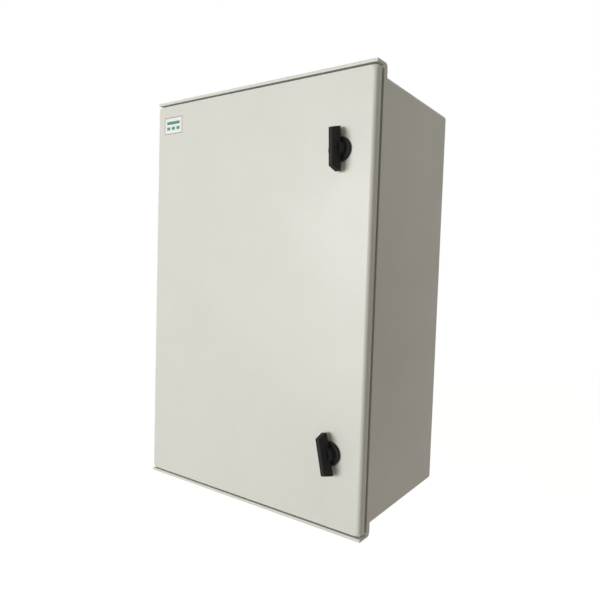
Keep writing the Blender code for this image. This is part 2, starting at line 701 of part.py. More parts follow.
def din_rail(name, height, look):
    """Slotted rail, its front brims on the local origin's plane."""
    rail = extruded(name, "X", rail_profile(), -RAIL_LENGTH / 2, RAIL_LENGTH / 2)
    count = int((RAIL_LENGTH - RAIL_SLOT) / RAIL_SLOT_PITCH)
    straight = RAIL_SLOT / 2 - RAIL_SLOT_RADIUS
    slots = []
    for i in range(count):
        x = (i - (count - 1) / 2) * RAIL_SLOT_PITCH
        outline = (arc((x + straight, 0), RAIL_SLOT_RADIUS, -90, 90, SLOT_STEPS)
                   + arc((x - straight, 0), RAIL_SLOT_RADIUS, 90, 270, SLOT_STEPS))
        slots.append(extruded("slot", "OUT", outline, -RAIL_DEPTH - OVERSHOOT, RAIL_SHEET * 2 - RAIL_DEPTH))
    carved(rail, *slots)
    return finished(rail, look, (0, -rail_front, height))


def device_profile(half, front, shrink=0.0):
    """Side outline of a rail device: its front points from bottom to top, then a back that hooks the rail."""
    notch = RAIL_HEIGHT / 2 + SEAT_GAP + shrink
    hook = HOOK - shrink
    seat = SEAT_GAP + shrink
    back = [(-hook, half), (-hook, notch), (seat, notch)]
    return front + back + mirrored(reversed(back))


def stepped_front(half, shoulder, nose_half, nose, shrink=0.0):
    """Front points of a device whose nose stands between two terminal shoulders."""
    step = shoulder - shrink
    side = nose_half - shrink
    upper = [(nose - shrink, side), (step, side), (step, half)]
    return mirrored(reversed(upper)) + upper


def rail_stop(name, x, height, look):
    front = [(STOP_REACH, -STOP_HALF), (STOP_REACH, STOP_HALF)]
    stop = extruded(name, "X", device_profile(STOP_HALF, front), -STOP_WIDTH / 2, STOP_WIDTH / 2)
    return finished(stop, look, (x, -rail_front, height))


def terminal_cutters(x, half, shoulder, inner, top_depth=CLAMP_DEPTH):
    """Wire openings in the ends and screw wells in the shoulders of one pole."""
    cutters = []
    for side, depth in ((1, top_depth), (-1, CLAMP_DEPTH)):
        ends = sorted((side * (half - depth), side * (half + OVERSHOOT)))
        cutters.append(block("opening", (x - SLOT_HALF, x + SLOT_HALF), (SLOT_LOW, SLOT_HIGH), ends))
        well = circle(SCREW_RADIUS, SMALL, (x, side * (half + inner) / 2))
        cutters.append(extruded("well", "OUT", well, shoulder - SCREW_DEPTH, shoulder + OVERSHOOT))
    return cutters


def fuse_bases(look):
    """Housings open at the front between two cheeks, which carry the carrier's trunnions."""
    profile = device_profile(base_half, stepped_front(base_half, SHOULDER, nose_half, CHEEK_REACH))
    base = extruded("fuse_base_1", "X", profile, -fuse_half, fuse_half)
    inner = carrier_half + RUNNING_GAP
    mouth = CHEEK_REACH + OVERSHOOT
    cavity = block("cavity", (-inner, inner), (CAVITY_FLOOR, mouth), (-cavity_half, cavity_half))
    bearing = circle(TRUNNION_RADIUS + RUNNING_GAP, SMALL, (pivot_out, pivot_rise))
    bearings = extruded("bearings", "X", bearing, -fuse_half - OVERSHOOT, fuse_half + OVERSHOOT)
    socket = COMB_TOOTH_DEPTH + COMB_TOOTH_ROOM
    carved(base, cavity, bearings, *terminal_cutters(0, base_half, SHOULDER, nose_half, socket))
    finished(base, look, (fuse_places[0], -rail_front, UPPER_RAIL))
    for i in range(1, STRINGS):
        copied(base, f"fuse_base_{i + 1}", (fuse_places[i], -rail_front, UPPER_RAIL))


def fuse_carriers(look, link_look):
    """Levers that tip the links out. Their outlines are measured from the pivot."""
    rear = FUSE_BEHIND + FUSE_RADIUS + FUSE_BACKING
    neck = PIVOT_BACK + RUNNING_GAP + GRIP_ROOT
    bend = math.degrees(math.acos(-rear / carrier_sweep))
    outline = [(-rear, -CARRIER_DROP), (CARRIER_TOE, -CARRIER_DROP), (CARRIER_TOE, GRIP_LIFT + NECK_INSET),
               (neck, GRIP_LIFT + NECK_INSET), (neck, carrier_sweep - NECK_INSET)]
    outline += arc((0, 0), carrier_sweep, 90, bend, EDGE_STEPS)
    carrier = extruded("fuse_carrier_1", "X", outline, -carrier_half, carrier_half)
    low = PIVOT_BACK + RUNNING_GAP
    high = PIVOT_BACK + GRIP_REACH
    grip_outline = [(low, GRIP_LIFT), (high, GRIP_LIFT + GRIP_ROOT), (high, carrier_sweep - GRIP_ROOT),
                    (low, carrier_sweep)]
    grip = extruded("grip", "X", grip_outline, RUNNING_GAP - fuse_half, fuse_half - RUNNING_GAP)
    reach = fuse_half - SEAT_GAP
    trunnions = extruded("trunnions", "X", circle(TRUNNION_RADIUS, SMALL), -reach, reach)
    joined(carrier, grip, trunnions)
    side = FUSE_RADIUS + SEAT_GAP
    carved(carrier, block("pocket", (-side, side), (-rear - OVERSHOOT, side - FUSE_BEHIND),
                          (-CARRIER_DROP - OVERSHOOT, carrier_sweep + OVERSHOOT)))

    top = math.sqrt((carrier_sweep - RUNNING_GAP) ** 2 - (FUSE_BEHIND + FUSE_RADIUS) ** 2)
    bottom = top - FUSE_LENGTH
    tube = FUSE_RADIUS - FUSE_CAP_STEP
    link = revolved("fuse_link_1", "Z", [
        (FUSE_RADIUS, bottom), (FUSE_RADIUS, bottom + FUSE_CAP), (tube, bottom + FUSE_CAP),
        (tube, top - FUSE_CAP), (FUSE_RADIUS, top - FUSE_CAP), (FUSE_RADIUS, top)], SMALL)
    place = (fuse_places[0], -rail_front - pivot_out, UPPER_RAIL + pivot_rise)
    finished(carrier, look, place)
    finished(link, link_look, (0, FUSE_BEHIND, 0), carrier)
    for i in range(1, STRINGS):
        twin = copied(carrier, f"fuse_carrier_{i + 1}", (fuse_places[i], place[1], place[2]))
        copied(link, f"fuse_link_{i + 1}", (0, FUSE_BEHIND, 0), twin)


def comb_busbar(look):
    """Bar on top of the fuse bases with one tooth in each terminal, and a drilled tab at its left end."""
    middle = (SLOT_LOW + SLOT_HIGH) / 2
    out = (middle - COMB / 2, middle + COMB / 2)
    low = base_half + SEAT_GAP
    left = fuse_places[0] - fuse_half - COMB_TAB
    bar = block("comb_busbar", (left, fuse_places[-1] + fuse_half), out, (low, low + COMB_HEIGHT))
    tooth = (out[0] + COMB_TOOTH_STEP, out[1] - COMB_TOOTH_STEP)
    teeth = [block("tooth", (x - COMB_TOOTH / 2, x + COMB_TOOTH / 2), tooth,
                   (low - COMB_TOOTH_DEPTH, low + COMB_HEIGHT / 2)) for x in fuse_places]
    joined(bar, *teeth)
    hole = circle(COMB_TAB_HOLE, SMALL, (left + COMB_TAB / 2, low + COMB_HEIGHT / 2))
    carved(bar, extruded("hole", "OUT", hole, out[0] - OVERSHOOT, out[1] + OVERSHOOT))
    return finished(bar, look, (0, -rail_front, UPPER_RAIL))


def surge_arrester(look, cartridge_look):
    """Base with a trough for plug-in cartridges, whose blades enter slots in its floor."""
    half = CARTRIDGE_HALF + RUNNING_GAP
    upper = [(ARRESTER_FLOOR, half), (ARRESTER_SHOULDER, half), (ARRESTER_SHOULDER, ARRESTER_HALF)]
    profile = device_profile(ARRESTER_HALF, mirrored(reversed(upper)) + upper)
    base = extruded("arrester_base", "X", profile, -arrester_half_width, arrester_half_width)
    places = [(i - (ARRESTER_POLES - 1) / 2) * cartridge_pitch for i in range(ARRESTER_POLES)]
    slot = (BLADE_WIDTH / 2 + RUNNING_GAP, BLADE / 2 + RUNNING_GAP)
    slot_end = ARRESTER_FLOOR - BLADE_LENGTH - BLADE_ROOM
    cutters = []
    for x in places:
        cutters += terminal_cutters(x, ARRESTER_HALF, ARRESTER_SHOULDER, half)
        for side in (1, -1):
            outline = rectangle(*slot, (x, side * BLADE_RISE))
            cutters.append(extruded("slot", "OUT", outline, slot_end, ARRESTER_FLOOR + OVERSHOOT))
    carved(base, *cutters)
    finished(base, look, (arrester_x, -rail_front, UPPER_RAIL))

    back = ARRESTER_FLOOR + SEAT_GAP
    bend = CARTRIDGE_REACH - CARTRIDGE_CHAMFER
    upper = [(CARTRIDGE_REACH, CARTRIDGE_HALF - CARTRIDGE_CHAMFER), (bend, CARTRIDGE_HALF),
             (back, CARTRIDGE_HALF)]
    outline = mirrored(reversed(upper)) + upper
    cartridge = extruded("arrester_cartridge_1", "X", outline, -CARTRIDGE / 2, CARTRIDGE / 2)
    blades = [extruded("blade", "OUT", rectangle(BLADE_WIDTH / 2, BLADE / 2, (0, side * BLADE_RISE)),
                       back - BLADE_LENGTH, back + OVERSHOOT) for side in (1, -1)]
    joined(cartridge, *blades)
    finished(cartridge, cartridge_look, (arrester_x + places[0], -rail_front, UPPER_RAIL))
    for i in range(1, ARRESTER_POLES):
        copied(cartridge, f"arrester_cartridge_{i + 1}", (arrester_x + places[i], -rail_front, UPPER_RAIL))


def breaker(look, toggle_look):
    """Four poles with seams between them, and one toggle tied across all four."""
    def outline(shrink):
        half = BREAKER_HALF - shrink
        front = stepped_front(half, BREAKER_SHOULDER, BREAKER_NOSE_HALF, BREAKER_NOSE, shrink)
        return device_profile(half, front, shrink)

    core_half = breaker_half_width - POLE / 2
    body = extruded("breaker_body", "X", outline(POLE_SEAM), -core_half, core_half)
    places = [(i - (POLES - 1) / 2) * POLE for i in range(POLES)]
    width = (POLE - POLE_SEAM) / 2
    joined(body, *[extruded("pole", "X", outline(0), x - width, x + width) for x in places])
    bed = circle(TOGGLE_RADIUS + RUNNING_GAP, ROUND, (toggle_out, 0))
    reach = TOGGLE_HALF + RUNNING_GAP
    cutters = [extruded("bed", "X", bed, -reach, reach)]
    for x in places:
        cutters += terminal_cutters(x, BREAKER_HALF, BREAKER_SHOULDER, BREAKER_NOSE_HALF)
    carved(body, *cutters)
    finished(body, look, (0, -rail_front, LOWER_RAIL))

    toggle = extruded("breaker_toggle", "X", circle(TOGGLE_RADIUS, ROUND), -TOGGLE_HALF, TOGGLE_HALF)
    lever = turned(TOGGLE_TILT, rectangle(TOGGLE_REACH / 2, TOGGLE_TIP, (TOGGLE_REACH / 2, 0)))
    reach = TOGGLE_HALF - LEVER_INSET
    joined(toggle, extruded("lever", "X", lever, -reach, reach))
    return finished(toggle, toggle_look, (0, -rail_front - toggle_out, LOWER_RAIL))


def screwed_bar(name, out):
    """Square bar with a row of terminal screws, its back at a distance in front of the plate."""
    bar = block(name, (-BAR_LENGTH / 2, BAR_LENGTH / 2), (out, out + BAR), (-BAR_HEIGHT / 2, BAR_HEIGHT / 2))
    screws = []
    for i in range(BAR_SCREWS):
        x = (i - (BAR_SCREWS - 1) / 2) * BAR_SCREW_PITCH
        top = out + BAR + BAR_SCREW_RISE
        screws.append(extruded("screw", "OUT", circle(BAR_SCREW_RADIUS, SMALL, (x, 0)), out + BAR / 2, top))
    return joined(bar, *screws)


def feet(low, high):
    """Two feet under a bar."""
    middle = BAR_LENGTH / 2 - BAR_FOOT_INSET - BAR_FOOT / 2
    half = BAR_HEIGHT / 2 - BAR_FOOT_STEP
    return [block("foot", (x - BAR_FOOT / 2, x + BAR_FOOT / 2), (low, high), (-half, half))
            for x in (-middle, middle)]


def terminal_bars(brass, insulator):
    """Earth bar on its own feet, and the negative bar on an insulating support."""
    place_earth = (BAR_SPREAD, -plate_front, BAR_MIDDLE)
    place_negative = (-BAR_SPREAD, -plate_front, BAR_MIDDLE)
    earth = screwed_bar("earth_bar", BAR_STANDOFF)
    joined(earth, *feet(SEAT_GAP, BAR_STANDOFF + BAR / 2))
    finished(earth, brass, place_earth)
    finished(screwed_bar("negative_bar", BAR_STANDOFF), brass, place_negative)
    half = BAR_LENGTH / 2 - SUPPORT_STEP
    rise = BAR_HEIGHT / 2
    support = block("negative_bar_support", (-half, half), (SEAT_GAP, SUPPORT_BASE), (-rise, rise))
    joined(support, *feet(SUPPORT_BASE / 2, BAR_STANDOFF - SEAT_GAP))
    finished(support, insulator, place_negative)


def cable_gland(name, x, out, thread, look):
    """Gland with its locknut, open from end to end. Heights are from the face that meets the wall."""
    flat = thread + GLAND_FLAT
    lean = DRAFT / side_front * 2 * flat
    nut = WALL + lean + 2 * SEAT_GAP
    end = -GLAND_HEX - GLAND_CAP - GLAND_DOME
    bore = thread - GLAND_WALL
    tail = nut + GLAND_NUT + GLAND_TAIL
    cap = flat - GLAND_CAP_STEP
    hexes = hexagon(flat)
    screw = circle(thread, HEX_ROUND)
    passage = circle(bore, HEX_ROUND)
    stages = [(screw, tail), (screw, nut + GLAND_NUT), (hexes, nut + GLAND_NUT), (hexes, nut),
              (screw, nut), (screw, 0), (hexes, 0), (hexes, -GLAND_HEX),
              (circle(cap, HEX_ROUND), -GLAND_HEX), (circle(cap, HEX_ROUND), -GLAND_HEX - GLAND_CAP),
              (circle(bore + GLAND_LAND, HEX_ROUND), end), (passage, end), (passage, tail)]
    gland = loft(name, "Z", stages, ring=True)
    lowest = -wall_half(out + flat)[1] - SEAT_GAP
    return finished(gland, look, (x, -out, lowest))


def build():
    clear_scene()
    polyester = material("grey_polyester", "D2D2C8", 0.55)
    knob_plastic = material("black_polyamide", "202022", 0.45)
    gland_plastic = material("grey_polyamide", "B4B6B2", 0.5)
    foam = material("seal_foam", "4A4A48", 0.9)
    steel = material("zinc_plated_steel", "BFC2C2", 0.35, 1.0)
    stainless = material("stainless_steel", "C6C7C6", 0.25, 1.0)
    copper = material("copper", "C48A62", 0.35, 1.0)
    brass = material("brass", "C9A95C", 0.35, 1.0)
    device = material("device_thermoplastic", "DADBD8", 0.5)
    carrier = material("carrier_thermoplastic", "C4C6C4", 0.5)
    cartridge = material("cartridge_thermoplastic", "C25A2E", 0.5)
    dark = material("toggle_thermoplastic", "2B2D30", 0.45)
    ceramic = material("fuse_ceramic", "ECEAE2", 0.4)
    resin = material("support_resin", "B23A2C", 0.5)

    enclosure_body(polyester)
    hinge_pin("hinge_pin_upper", 1, stainless)
    hinge_pin("hinge_pin_lower", -1, stainless)

    door_axis = pivot("door_axis", (hinge_x, -hinge_out, 0))
    door_panel(polyester, door_axis)
    door_gasket(foam, door_axis)
    for side, end in (("upper", 1), ("lower", -1)):
        place = (knob_x - hinge_x, hinge_out - door_front, end * knob_rise)
        lock_bezel(f"lock_bezel_{side}", knob_plastic, door_axis, place)
        lock_nut(f"lock_nut_{side}", steel, door_axis, place)
        knob_axis = pivot(f"knob_axis_{side}", place, door_axis, KNOB_LEANS[side])
        lock_knob(f"lock_knob_{side}", knob_plastic, knob_axis)
        lock_tongue(f"lock_tongue_{side}", steel, knob_axis)

    mounting_plate(steel)
    din_rail("din_rail_upper", UPPER_RAIL, steel)
    din_rail("din_rail_lower", LOWER_RAIL, steel)
    beside = STOP_WIDTH / 2 + MODULE_GAP
    rows = {"upper": (row_width / 2, UPPER_RAIL), "lower": (breaker_half_width, LOWER_RAIL)}
    for row, (half, height) in rows.items():
        rail_stop(f"rail_stop_{row}_left", -half - beside, height, carrier)
        rail_stop(f"rail_stop_{row}_right", half + beside, height, carrier)
    fuse_bases(device)
    fuse_carriers(carrier, ceramic)
    comb_busbar(copper)
    surge_arrester(device, cartridge)
    breaker(device, dark)
    terminal_bars(brass, resin)
    for name, x, out, thread in gland_list():
        cable_gland(name, x, out, thread, gland_plastic)


build()
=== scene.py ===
"""Looks of the wall-mounted DC combiner box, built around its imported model.

The model is in metres, +Z is up and the front faces -Y. The case's flat back lies on the plane y = 0.
Small pieces are modelled on a bench, with Z as "out", and then turned to the front and put in their place.
Lengths are written in millimetres, apart from the camera's place, the light and the floor, in metres.
"""

import math

import bmesh
import bpy
from mathutils import Matrix, Vector


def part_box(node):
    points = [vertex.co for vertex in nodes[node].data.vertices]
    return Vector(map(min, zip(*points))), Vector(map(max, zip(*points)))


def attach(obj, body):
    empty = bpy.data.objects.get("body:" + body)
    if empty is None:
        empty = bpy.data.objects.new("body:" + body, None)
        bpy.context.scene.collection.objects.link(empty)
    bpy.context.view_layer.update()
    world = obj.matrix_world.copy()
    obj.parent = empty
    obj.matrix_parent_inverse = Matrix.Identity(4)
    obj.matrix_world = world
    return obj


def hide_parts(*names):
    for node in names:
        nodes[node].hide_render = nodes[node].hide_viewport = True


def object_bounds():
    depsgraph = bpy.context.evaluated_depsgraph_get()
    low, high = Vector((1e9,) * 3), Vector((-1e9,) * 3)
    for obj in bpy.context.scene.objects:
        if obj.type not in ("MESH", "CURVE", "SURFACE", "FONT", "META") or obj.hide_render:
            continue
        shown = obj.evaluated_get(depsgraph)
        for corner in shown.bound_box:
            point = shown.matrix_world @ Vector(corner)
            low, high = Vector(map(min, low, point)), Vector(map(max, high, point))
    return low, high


MM = 0.001
SMOOTH = math.radians(35)       # edges flatter than this are shaded smooth
SHARP = math.radians(40)        # edges steeper than this are rounded
TO_FRONT = math.radians(90)     # turns a bench piece so that it faces the front
NEAR = 0.05                     # a corner that is this near to a place is taken as being there
FACING = 0.9                    # a face whose normal goes this far along an axis faces that way
MERGE = 0.005                   # corners nearer to each other than this are one
FLAT = math.radians(0.3)        # faces that meet flatter than this are one
SLIVER = 0.001                  # faces and edges smaller than this are dropped

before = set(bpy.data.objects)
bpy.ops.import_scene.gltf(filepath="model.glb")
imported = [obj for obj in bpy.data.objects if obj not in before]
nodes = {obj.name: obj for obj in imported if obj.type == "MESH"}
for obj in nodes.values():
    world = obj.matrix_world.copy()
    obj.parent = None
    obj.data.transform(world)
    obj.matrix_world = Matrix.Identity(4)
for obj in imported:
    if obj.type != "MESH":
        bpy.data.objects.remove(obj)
cad_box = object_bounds()

# Camera, as the photograph was taken
CAMERA_PLACE = (0.5852, -0.9091, 0.0492)
CAMERA_AZIMUTH = 35.98          # degrees round to the right of straight ahead
CAMERA_TILT = 3.31              # degrees down
CAMERA_ROLL = 1.81              # degrees
LENS = 34.1                     # millimetres
SENSOR = 36                     # millimetres wide

# Light
KEY_PLACE = (-1.9, -5.7, 0.3)
KEY_SIZE = 2.4
KEY_POWER = 222
AMBIENT = 0.265
FLOOR_DROP = 0.55               # floor under the lowest point: the box hangs on a wall
FLOOR_SIZE = 30
FLOOR_FADE = (2.0, 5.0)         # the floor fades into the white background between these distances
FLOOR_GLOW = 0.8                # lifts the floor towards white, so that only the shadow stays darker

# Case and door: across, out from the wall, up
SIDE_FRONT = 224.5              # front edge of the side walls
SIDE_OUTER = 215.0
LIP_END = 214.6                 # ends of the lips in the solid, short of the side walls
LIP_FRONT = 243.0
LIP_LEVEL = 319                 # the lips are further up or down than this
STEP_FILLS = [                  # middles and sizes of the blocks that join the side walls to the lips
    ((213.0, 220.25, 309.75), (4, 8.5, 12.5)),
    ((LIP_END, 232.5, 322.75), (2 * (SIDE_OUTER - LIP_END), 21, 4.5)),
]
EDGE_ROUNDING = 0.7
SKIRT_BACK = 228.6              # back edge of the door's skirt
SKIRT_TRIM = 2.4                # off the skirt beside the locks: the seam there is wider
SKIRT_CORNERS = [               # from and to how far out, and the part that is kept of a corner's radius
    (SKIRT_BACK, 238.5, 0.4),
    (240.05, 240.05, 0.5),
    (241.5, 241.5, 0.65),
    (242.74, 242.74, 0.85),
]
DOOR_CORNER = 8.02              # radius of the skirt's corners in the solid
OUTER_PART = 0.9                # of that radius: what lies further out is on the skirt's outer skin
DOOR_FACE = 244.2               # shallow field in the door's front

# Sticker
STICKER_MIDDLE = (-175.9, 283.5)
STICKER_SIZE = (45.0, 30.0)
STICKER_CORNER = 2
STICKER_THICKNESS = 0.15
STICKER_MARGIN = 0.6            # white edge outside the printed border
STICKER_BORDER = 1.3
SIGN_ROW = 4.6                  # rows of the direct-current sign, above and below the middle
SIGN_LIFT = 0.17
SIGN_BAR = (31, 4.8, 0.06)
SIGN_DASH = (7.6, 4.8, 0.06)
SIGN_DASHES = (-11.7, 0, 11.7)
INK_ROUNDING = 0.02
INK_THICKNESS = 0.03

# Locks on the bench, from the door's face out: steps of radius and height
KNOB_ACROSS = 162.5
KNOB_UP = {"upper": 211.0, "lower": -211.0}
KNOB_LEAN = {"upper": 2.4, "lower": 12.7}
BEZEL_STEPS = [(11, -17), (11, 0.3), (17.5, 0.3), (17.5, 3.5), (16.5, 4.5), (14.5, 4.5), (13.5, 3.5)]
BEZEL_BORE = [(7.4, -20), (7.4, 8)]
KNOB_STEPS = [(7, -29.1), (7, 3.8), (10.5, 3.8), (10.5, 9.2), (8.4, 12.8)]
WING_MIDDLE = (0, 0, 15.75)
WING_SIZE = (9.4, 61, 18.5)
WING_TOP = (6.4, 51.5)          # the wing narrows to this at its front
WING_FOOT = 8                   # the wing's edges are rounded above this
WING_ROUNDING = 0.9
SQUARE_MIDDLE = (0, 0, -31.7)   # square end of the spindle, for the tongue
SQUARE_SIZE = (9, 9, 6.4)

# Plate, rails and devices
PLATE_FRONT = 21.3
PLATE_SCREWS = [(x, z) for x in (-167, 167) for z in (-262, 262)]
UPPER_RAIL = 110.0
LOWER_RAIL = -60.0
RAIL_FLOOR = 22.6
RAIL_SCREW_ACROSS = 137.5
STOP_SCREWS = [(-98.3, 110), (98.3, 110), (-40.9, -60), (40.9, -60)]
STOP_FRONT = 51.1
FUSES = [-84.25 + 18.3 * i for i in range(6)]
ARRESTER_POLES = [46.9, 64.9, 82.9]
BREAKER_POLES = [-27.0, -9.0, 9.0, 27.0]
TERMINALS = [                   # poles, rail, and how far out and how far from the rail their screws are
    (FUSES, UPPER_RAIL, 64.1, 32.65),
    (ARRESTER_POLES, UPPER_RAIL, 70.1, 33.95),
    (BREAKER_POLES, LOWER_RAIL, 72.1, 32.75),
]
JAW_SIZE = (6.6, 7.6, 0.8)
JAW_RIB = (0.7, 7.2, 0.7)
JAW_RIBS = (-2.2, -0.75, 0.75, 2.2)
JAW_OUT = 51.1                  # middle of the terminal openings
ARRESTER_JAW = 41.6             # how far the jaws are from the rail
BREAKER_JAW = 39.1
FUSE_JAW = 37.1
CARRIER_FRONT = 91.1
POCKET_LINE = 67.64             # a shallow edge too close to the carrier's pocket to be rounded beside it
GRIP_UP = 127.6
GRIP_RIB = (11, 1.1, 0.9)
GRIP_PITCH = 2.2
FUSE_SIGN_UP = 114.4
FUSE_SIGN = (3.6, 8.8)          # box of the fuse sign between the middles of its strokes
FUSE_STROKES = {"upright": (0.5, 9, 0.08), "level": (4.1, 0.5, 0.08), "wire": (0.5, 14, 0.08)}
LENS_STEPS = [(1.5, -0.4), (1.5, 0.25), (1.2, 0.5), (0.6, 0.62)]
FUSE_MARK_UP = 103.2            # indicator lens and number
LENS_ACROSS = -5.2
NUMBER_ACROSS = 5.4
NUMBER_HEIGHT = 4.4
TUBE_STEPS = [(4.6, -17), (4.9, -16.7), (4.9, 16.7), (4.6, 17)]
CAP_STEPS = [(5.15, 9), (5.15, 18.3), (4.6, 18.9), (3.0, 19)]
CARTRIDGE_FRONT = 95.1
STATUS_UP = UPPER_RAIL + 8
STATUS_SIZE = (6.5, 4.2, 0.7)
FRAME_LIFT = 0.15
FRAME_OFF = (3.7, 2.55)         # middles of the bars round the status window
FRAME_UPRIGHT = (0.9, 6, 0.7)
FRAME_LEVEL = (8.3, 0.9, 0.7)
ARROW_STEPS = [(1.9, -0.02), (1.9, 0.05)]
ARROW_OFF = 2.2
ARROWS_UP = UPPER_RAIL - 6
BREAKER_FRONT = 93.1
ON_STROKE = (0.8, 4.4, 0.08)
OFF_RING = (2.3, 1.6)           # outer and inner radius
FLAG_SIZE = (5.4, 3, 0.7)
ON_UP = LOWER_RAIL + 17
OFF_UP = LOWER_RAIL - 19.3
FLAG_UP = LOWER_RAIL - 14.4
BAR_UP = -190.0
BAR_ACROSS = 85                 # earth bar on the right, negative bar on the left
BAR_SCREWS = [18.0 * i for i in range(-3, 4)]
BAR_SCREW_FOOT = 51.35          # the screw heads stand further out than this
BAR_SLOT_OUT = 54.3
BAR_SLOT = (9, 2.2, 1.3)
BAR_HOLE_OUT = 47.3
BAR_HOLE = [(2.6, -10), (2.6, 0)]

# Glands on the bench, from the wall's outer face up
GLAND_DROP = 22
RIB_BAND = (-16, -7)
RIB_EDGE = 0.2
RIB_HEIGHT = 0.6
CAP_SIDES = 60
PLAY = 0.05                     # between a seal and its bore


def mm(*lengths):
    """Lengths in millimetres as metres."""
    return tuple(length * MM for length in lengths)


# Colours and nodes


def linear(code):
    """Linear colour of an sRGB hex code."""
    channels = [int(code[i:i + 2], 16) / 255 for i in (0, 2, 4)]
    return (*[c / 12.92 if c <= 0.04045 else ((c + 0.055) / 1.055) ** 2.4 for c in channels], 1.0)


def per(millimetres):
    """Texture scale whose features are that far apart on Object coordinates."""
    return 1 / (millimetres * MM)


def add(tree, kind, sockets=None, **settings):
    """Adds a node, sets its properties, and fills its sockets with values or links."""
    made = tree.nodes.new("ShaderNode" + kind)
    for key, value in settings.items():
        setattr(made, key, value)
    for key, value in (sockets or {}).items():
        if isinstance(value, bpy.types.NodeSocket):
            tree.links.new(value, made.inputs[key])
        else:
            made.inputs[key].default_value = value
    return made


def principled(name, sockets):
    """A material with one Principled shader, with its tree, the shader and Object coordinates."""
    look = bpy.data.materials.new(name)
    look.use_nodes = True
    tree = look.node_tree
    shader = tree.nodes["Principled BSDF"]
    for key, value in sockets.items():
        shader.inputs[key].default_value = value
    return look, tree, shader, add(tree, "TexCoord").outputs["Object"]


def finish_look(tree, shader, colour, roughness, height, depth):
    """Links a colour, a roughness and a bump of some depth in millimetres to the shader."""
    bump = add(tree, "Bump", {"Height": height, "Distance": depth * MM, "Strength": 1.0})
    tree.links.new(colour, shader.inputs["Base Color"])
    tree.links.new(roughness, shader.inputs["Roughness"])
    tree.links.new(bump.outputs["Normal"], shader.inputs["Normal"])


def moulded(name, pale, deep, roughness, grain, depth, cloud, specular=0.5):
    """Moulded plastic: clouds between two close tones, gloss that drifts with them, and a fine tool grain.
    Grain, depth and cloud are in millimetres."""
    look, tree, shader, place = principled(name, {"IOR": 1.5, "Specular IOR Level": specular})
    clouds = add(tree, "TexNoise", {"Vector": place, "Scale": per(cloud), "Detail": 3.0}).outputs["Fac"]
    tone = add(tree, "Mix", {0: clouds, 6: linear(pale), 7: linear(deep)}, data_type="RGBA")
    gloss = add(tree, "MapRange", {"Value": clouds, "To Min": roughness - 0.08, "To Max": roughness + 0.08})
    skin = add(tree, "TexNoise", {"Vector": place, "Scale": per(grain), "Detail": 2.0}).outputs["Fac"]
    finish_look(tree, shader, tone.outputs[2], gloss.outputs["Result"], skin, depth)
    return look


def pressed_polyester():
    """Hot-pressed polyester with chopped glass: pale warm grey, clouded where the paste flowed, with faint
    flecks of fibre bundles under a satin skin that has a little orange peel."""
    look, tree, shader, place = principled("grey_polyester", {"IOR": 1.52})
    clouds = add(tree, "TexNoise", {"Vector": place, "Scale": per(95), "Detail": 3.0}).outputs["Fac"]
    fibres = add(tree, "TexNoise", {"Vector": place, "Scale": per(5), "Detail": 4.0, "Roughness": 0.65,
                                    "Distortion": 1.8}).outputs["Fac"]
    fleck = add(tree, "MapRange", {"Value": fibres, "From Min": 0.5, "From Max": 0.72, "To Max": 0.5})
    peel = add(tree, "TexNoise", {"Vector": place, "Scale": per(1.6), "Detail": 2.0}).outputs["Fac"]
    tone = add(tree, "Mix", {0: clouds, 6: linear("DADCD6"), 7: linear("D1D3CC")}, data_type="RGBA")
    flecked = add(tree, "Mix", {0: fleck.outputs["Result"], 6: tone.outputs[2], 7: linear("DEDFDA")},
                  data_type="RGBA")
    gloss = add(tree, "MapRange", {"Value": clouds, "To Min": 0.36, "To Max": 0.46})
    finish_look(tree, shader, flecked.outputs[2], gloss.outputs["Result"], peel, 0.014)
    return look


def metal(name, pale, deep, roughness, patch, line, depth):
    """Metal: patches between two tones where the surface has tarnished, and fine lines left along the piece
    by rolling or brushing. Patch, line and depth are in millimetres."""
    look, tree, shader, place = principled(name, {"Metallic": 1.0})
    patches = add(tree, "TexNoise", {"Vector": place, "Scale": per(patch), "Detail": 4.0}).outputs["Fac"]
    along = add(tree, "Mapping", {"Vector": place, "Scale": (0.06, 1.0, 1.0)}).outputs["Vector"]
    lines = add(tree, "TexNoise", {"Vector": along, "Scale": per(line), "Detail": 3.0}).outputs["Fac"]
    tone = add(tree, "Mix", {0: patches, 6: linear(pale), 7: linear(deep)}, data_type="RGBA")
    worn = add(tree, "Math", {0: patches, 1: lines}, operation="ADD")
    gloss = add(tree, "MapRange", {"Value": worn.outputs[0], "From Min": 0.6, "From Max": 1.4,
                                   "To Min": roughness - 0.1, "To Max": roughness + 0.12})
    finish_look(tree, shader, tone.outputs[2], gloss.outputs["Result"], lines, depth)
    return look


def galvanised():
    """Zinc-coated sheet: pale blue-grey, with flat crystals a few millimetres wide that differ a little in
    tone and gloss, and fine rolling marks."""
    look, tree, shader, place = principled("zinc_plated_steel", {"Metallic": 1.0})
    crystals = add(tree, "TexVoronoi", {"Vector": place, "Scale": per(7)})
    shade = add(tree, "SeparateColor", {"Color": crystals.outputs["Color"]}).outputs["Red"]
    along = add(tree, "Mapping", {"Vector": place, "Scale": (1.0, 1.0, 0.05)}).outputs["Vector"]
    lines = add(tree, "TexNoise", {"Vector": along, "Scale": per(0.9), "Detail": 3.0}).outputs["Fac"]
    tone = add(tree, "Mix", {0: shade, 6: linear("A0A6A8"), 7: linear("949A9D")}, data_type="RGBA")
    gloss = add(tree, "MapRange", {"Value": shade, "To Min": 0.58, "To Max": 0.64})
    finish_look(tree, shader, tone.outputs[2], gloss.outputs["Result"], lines, 0.01)
    return look


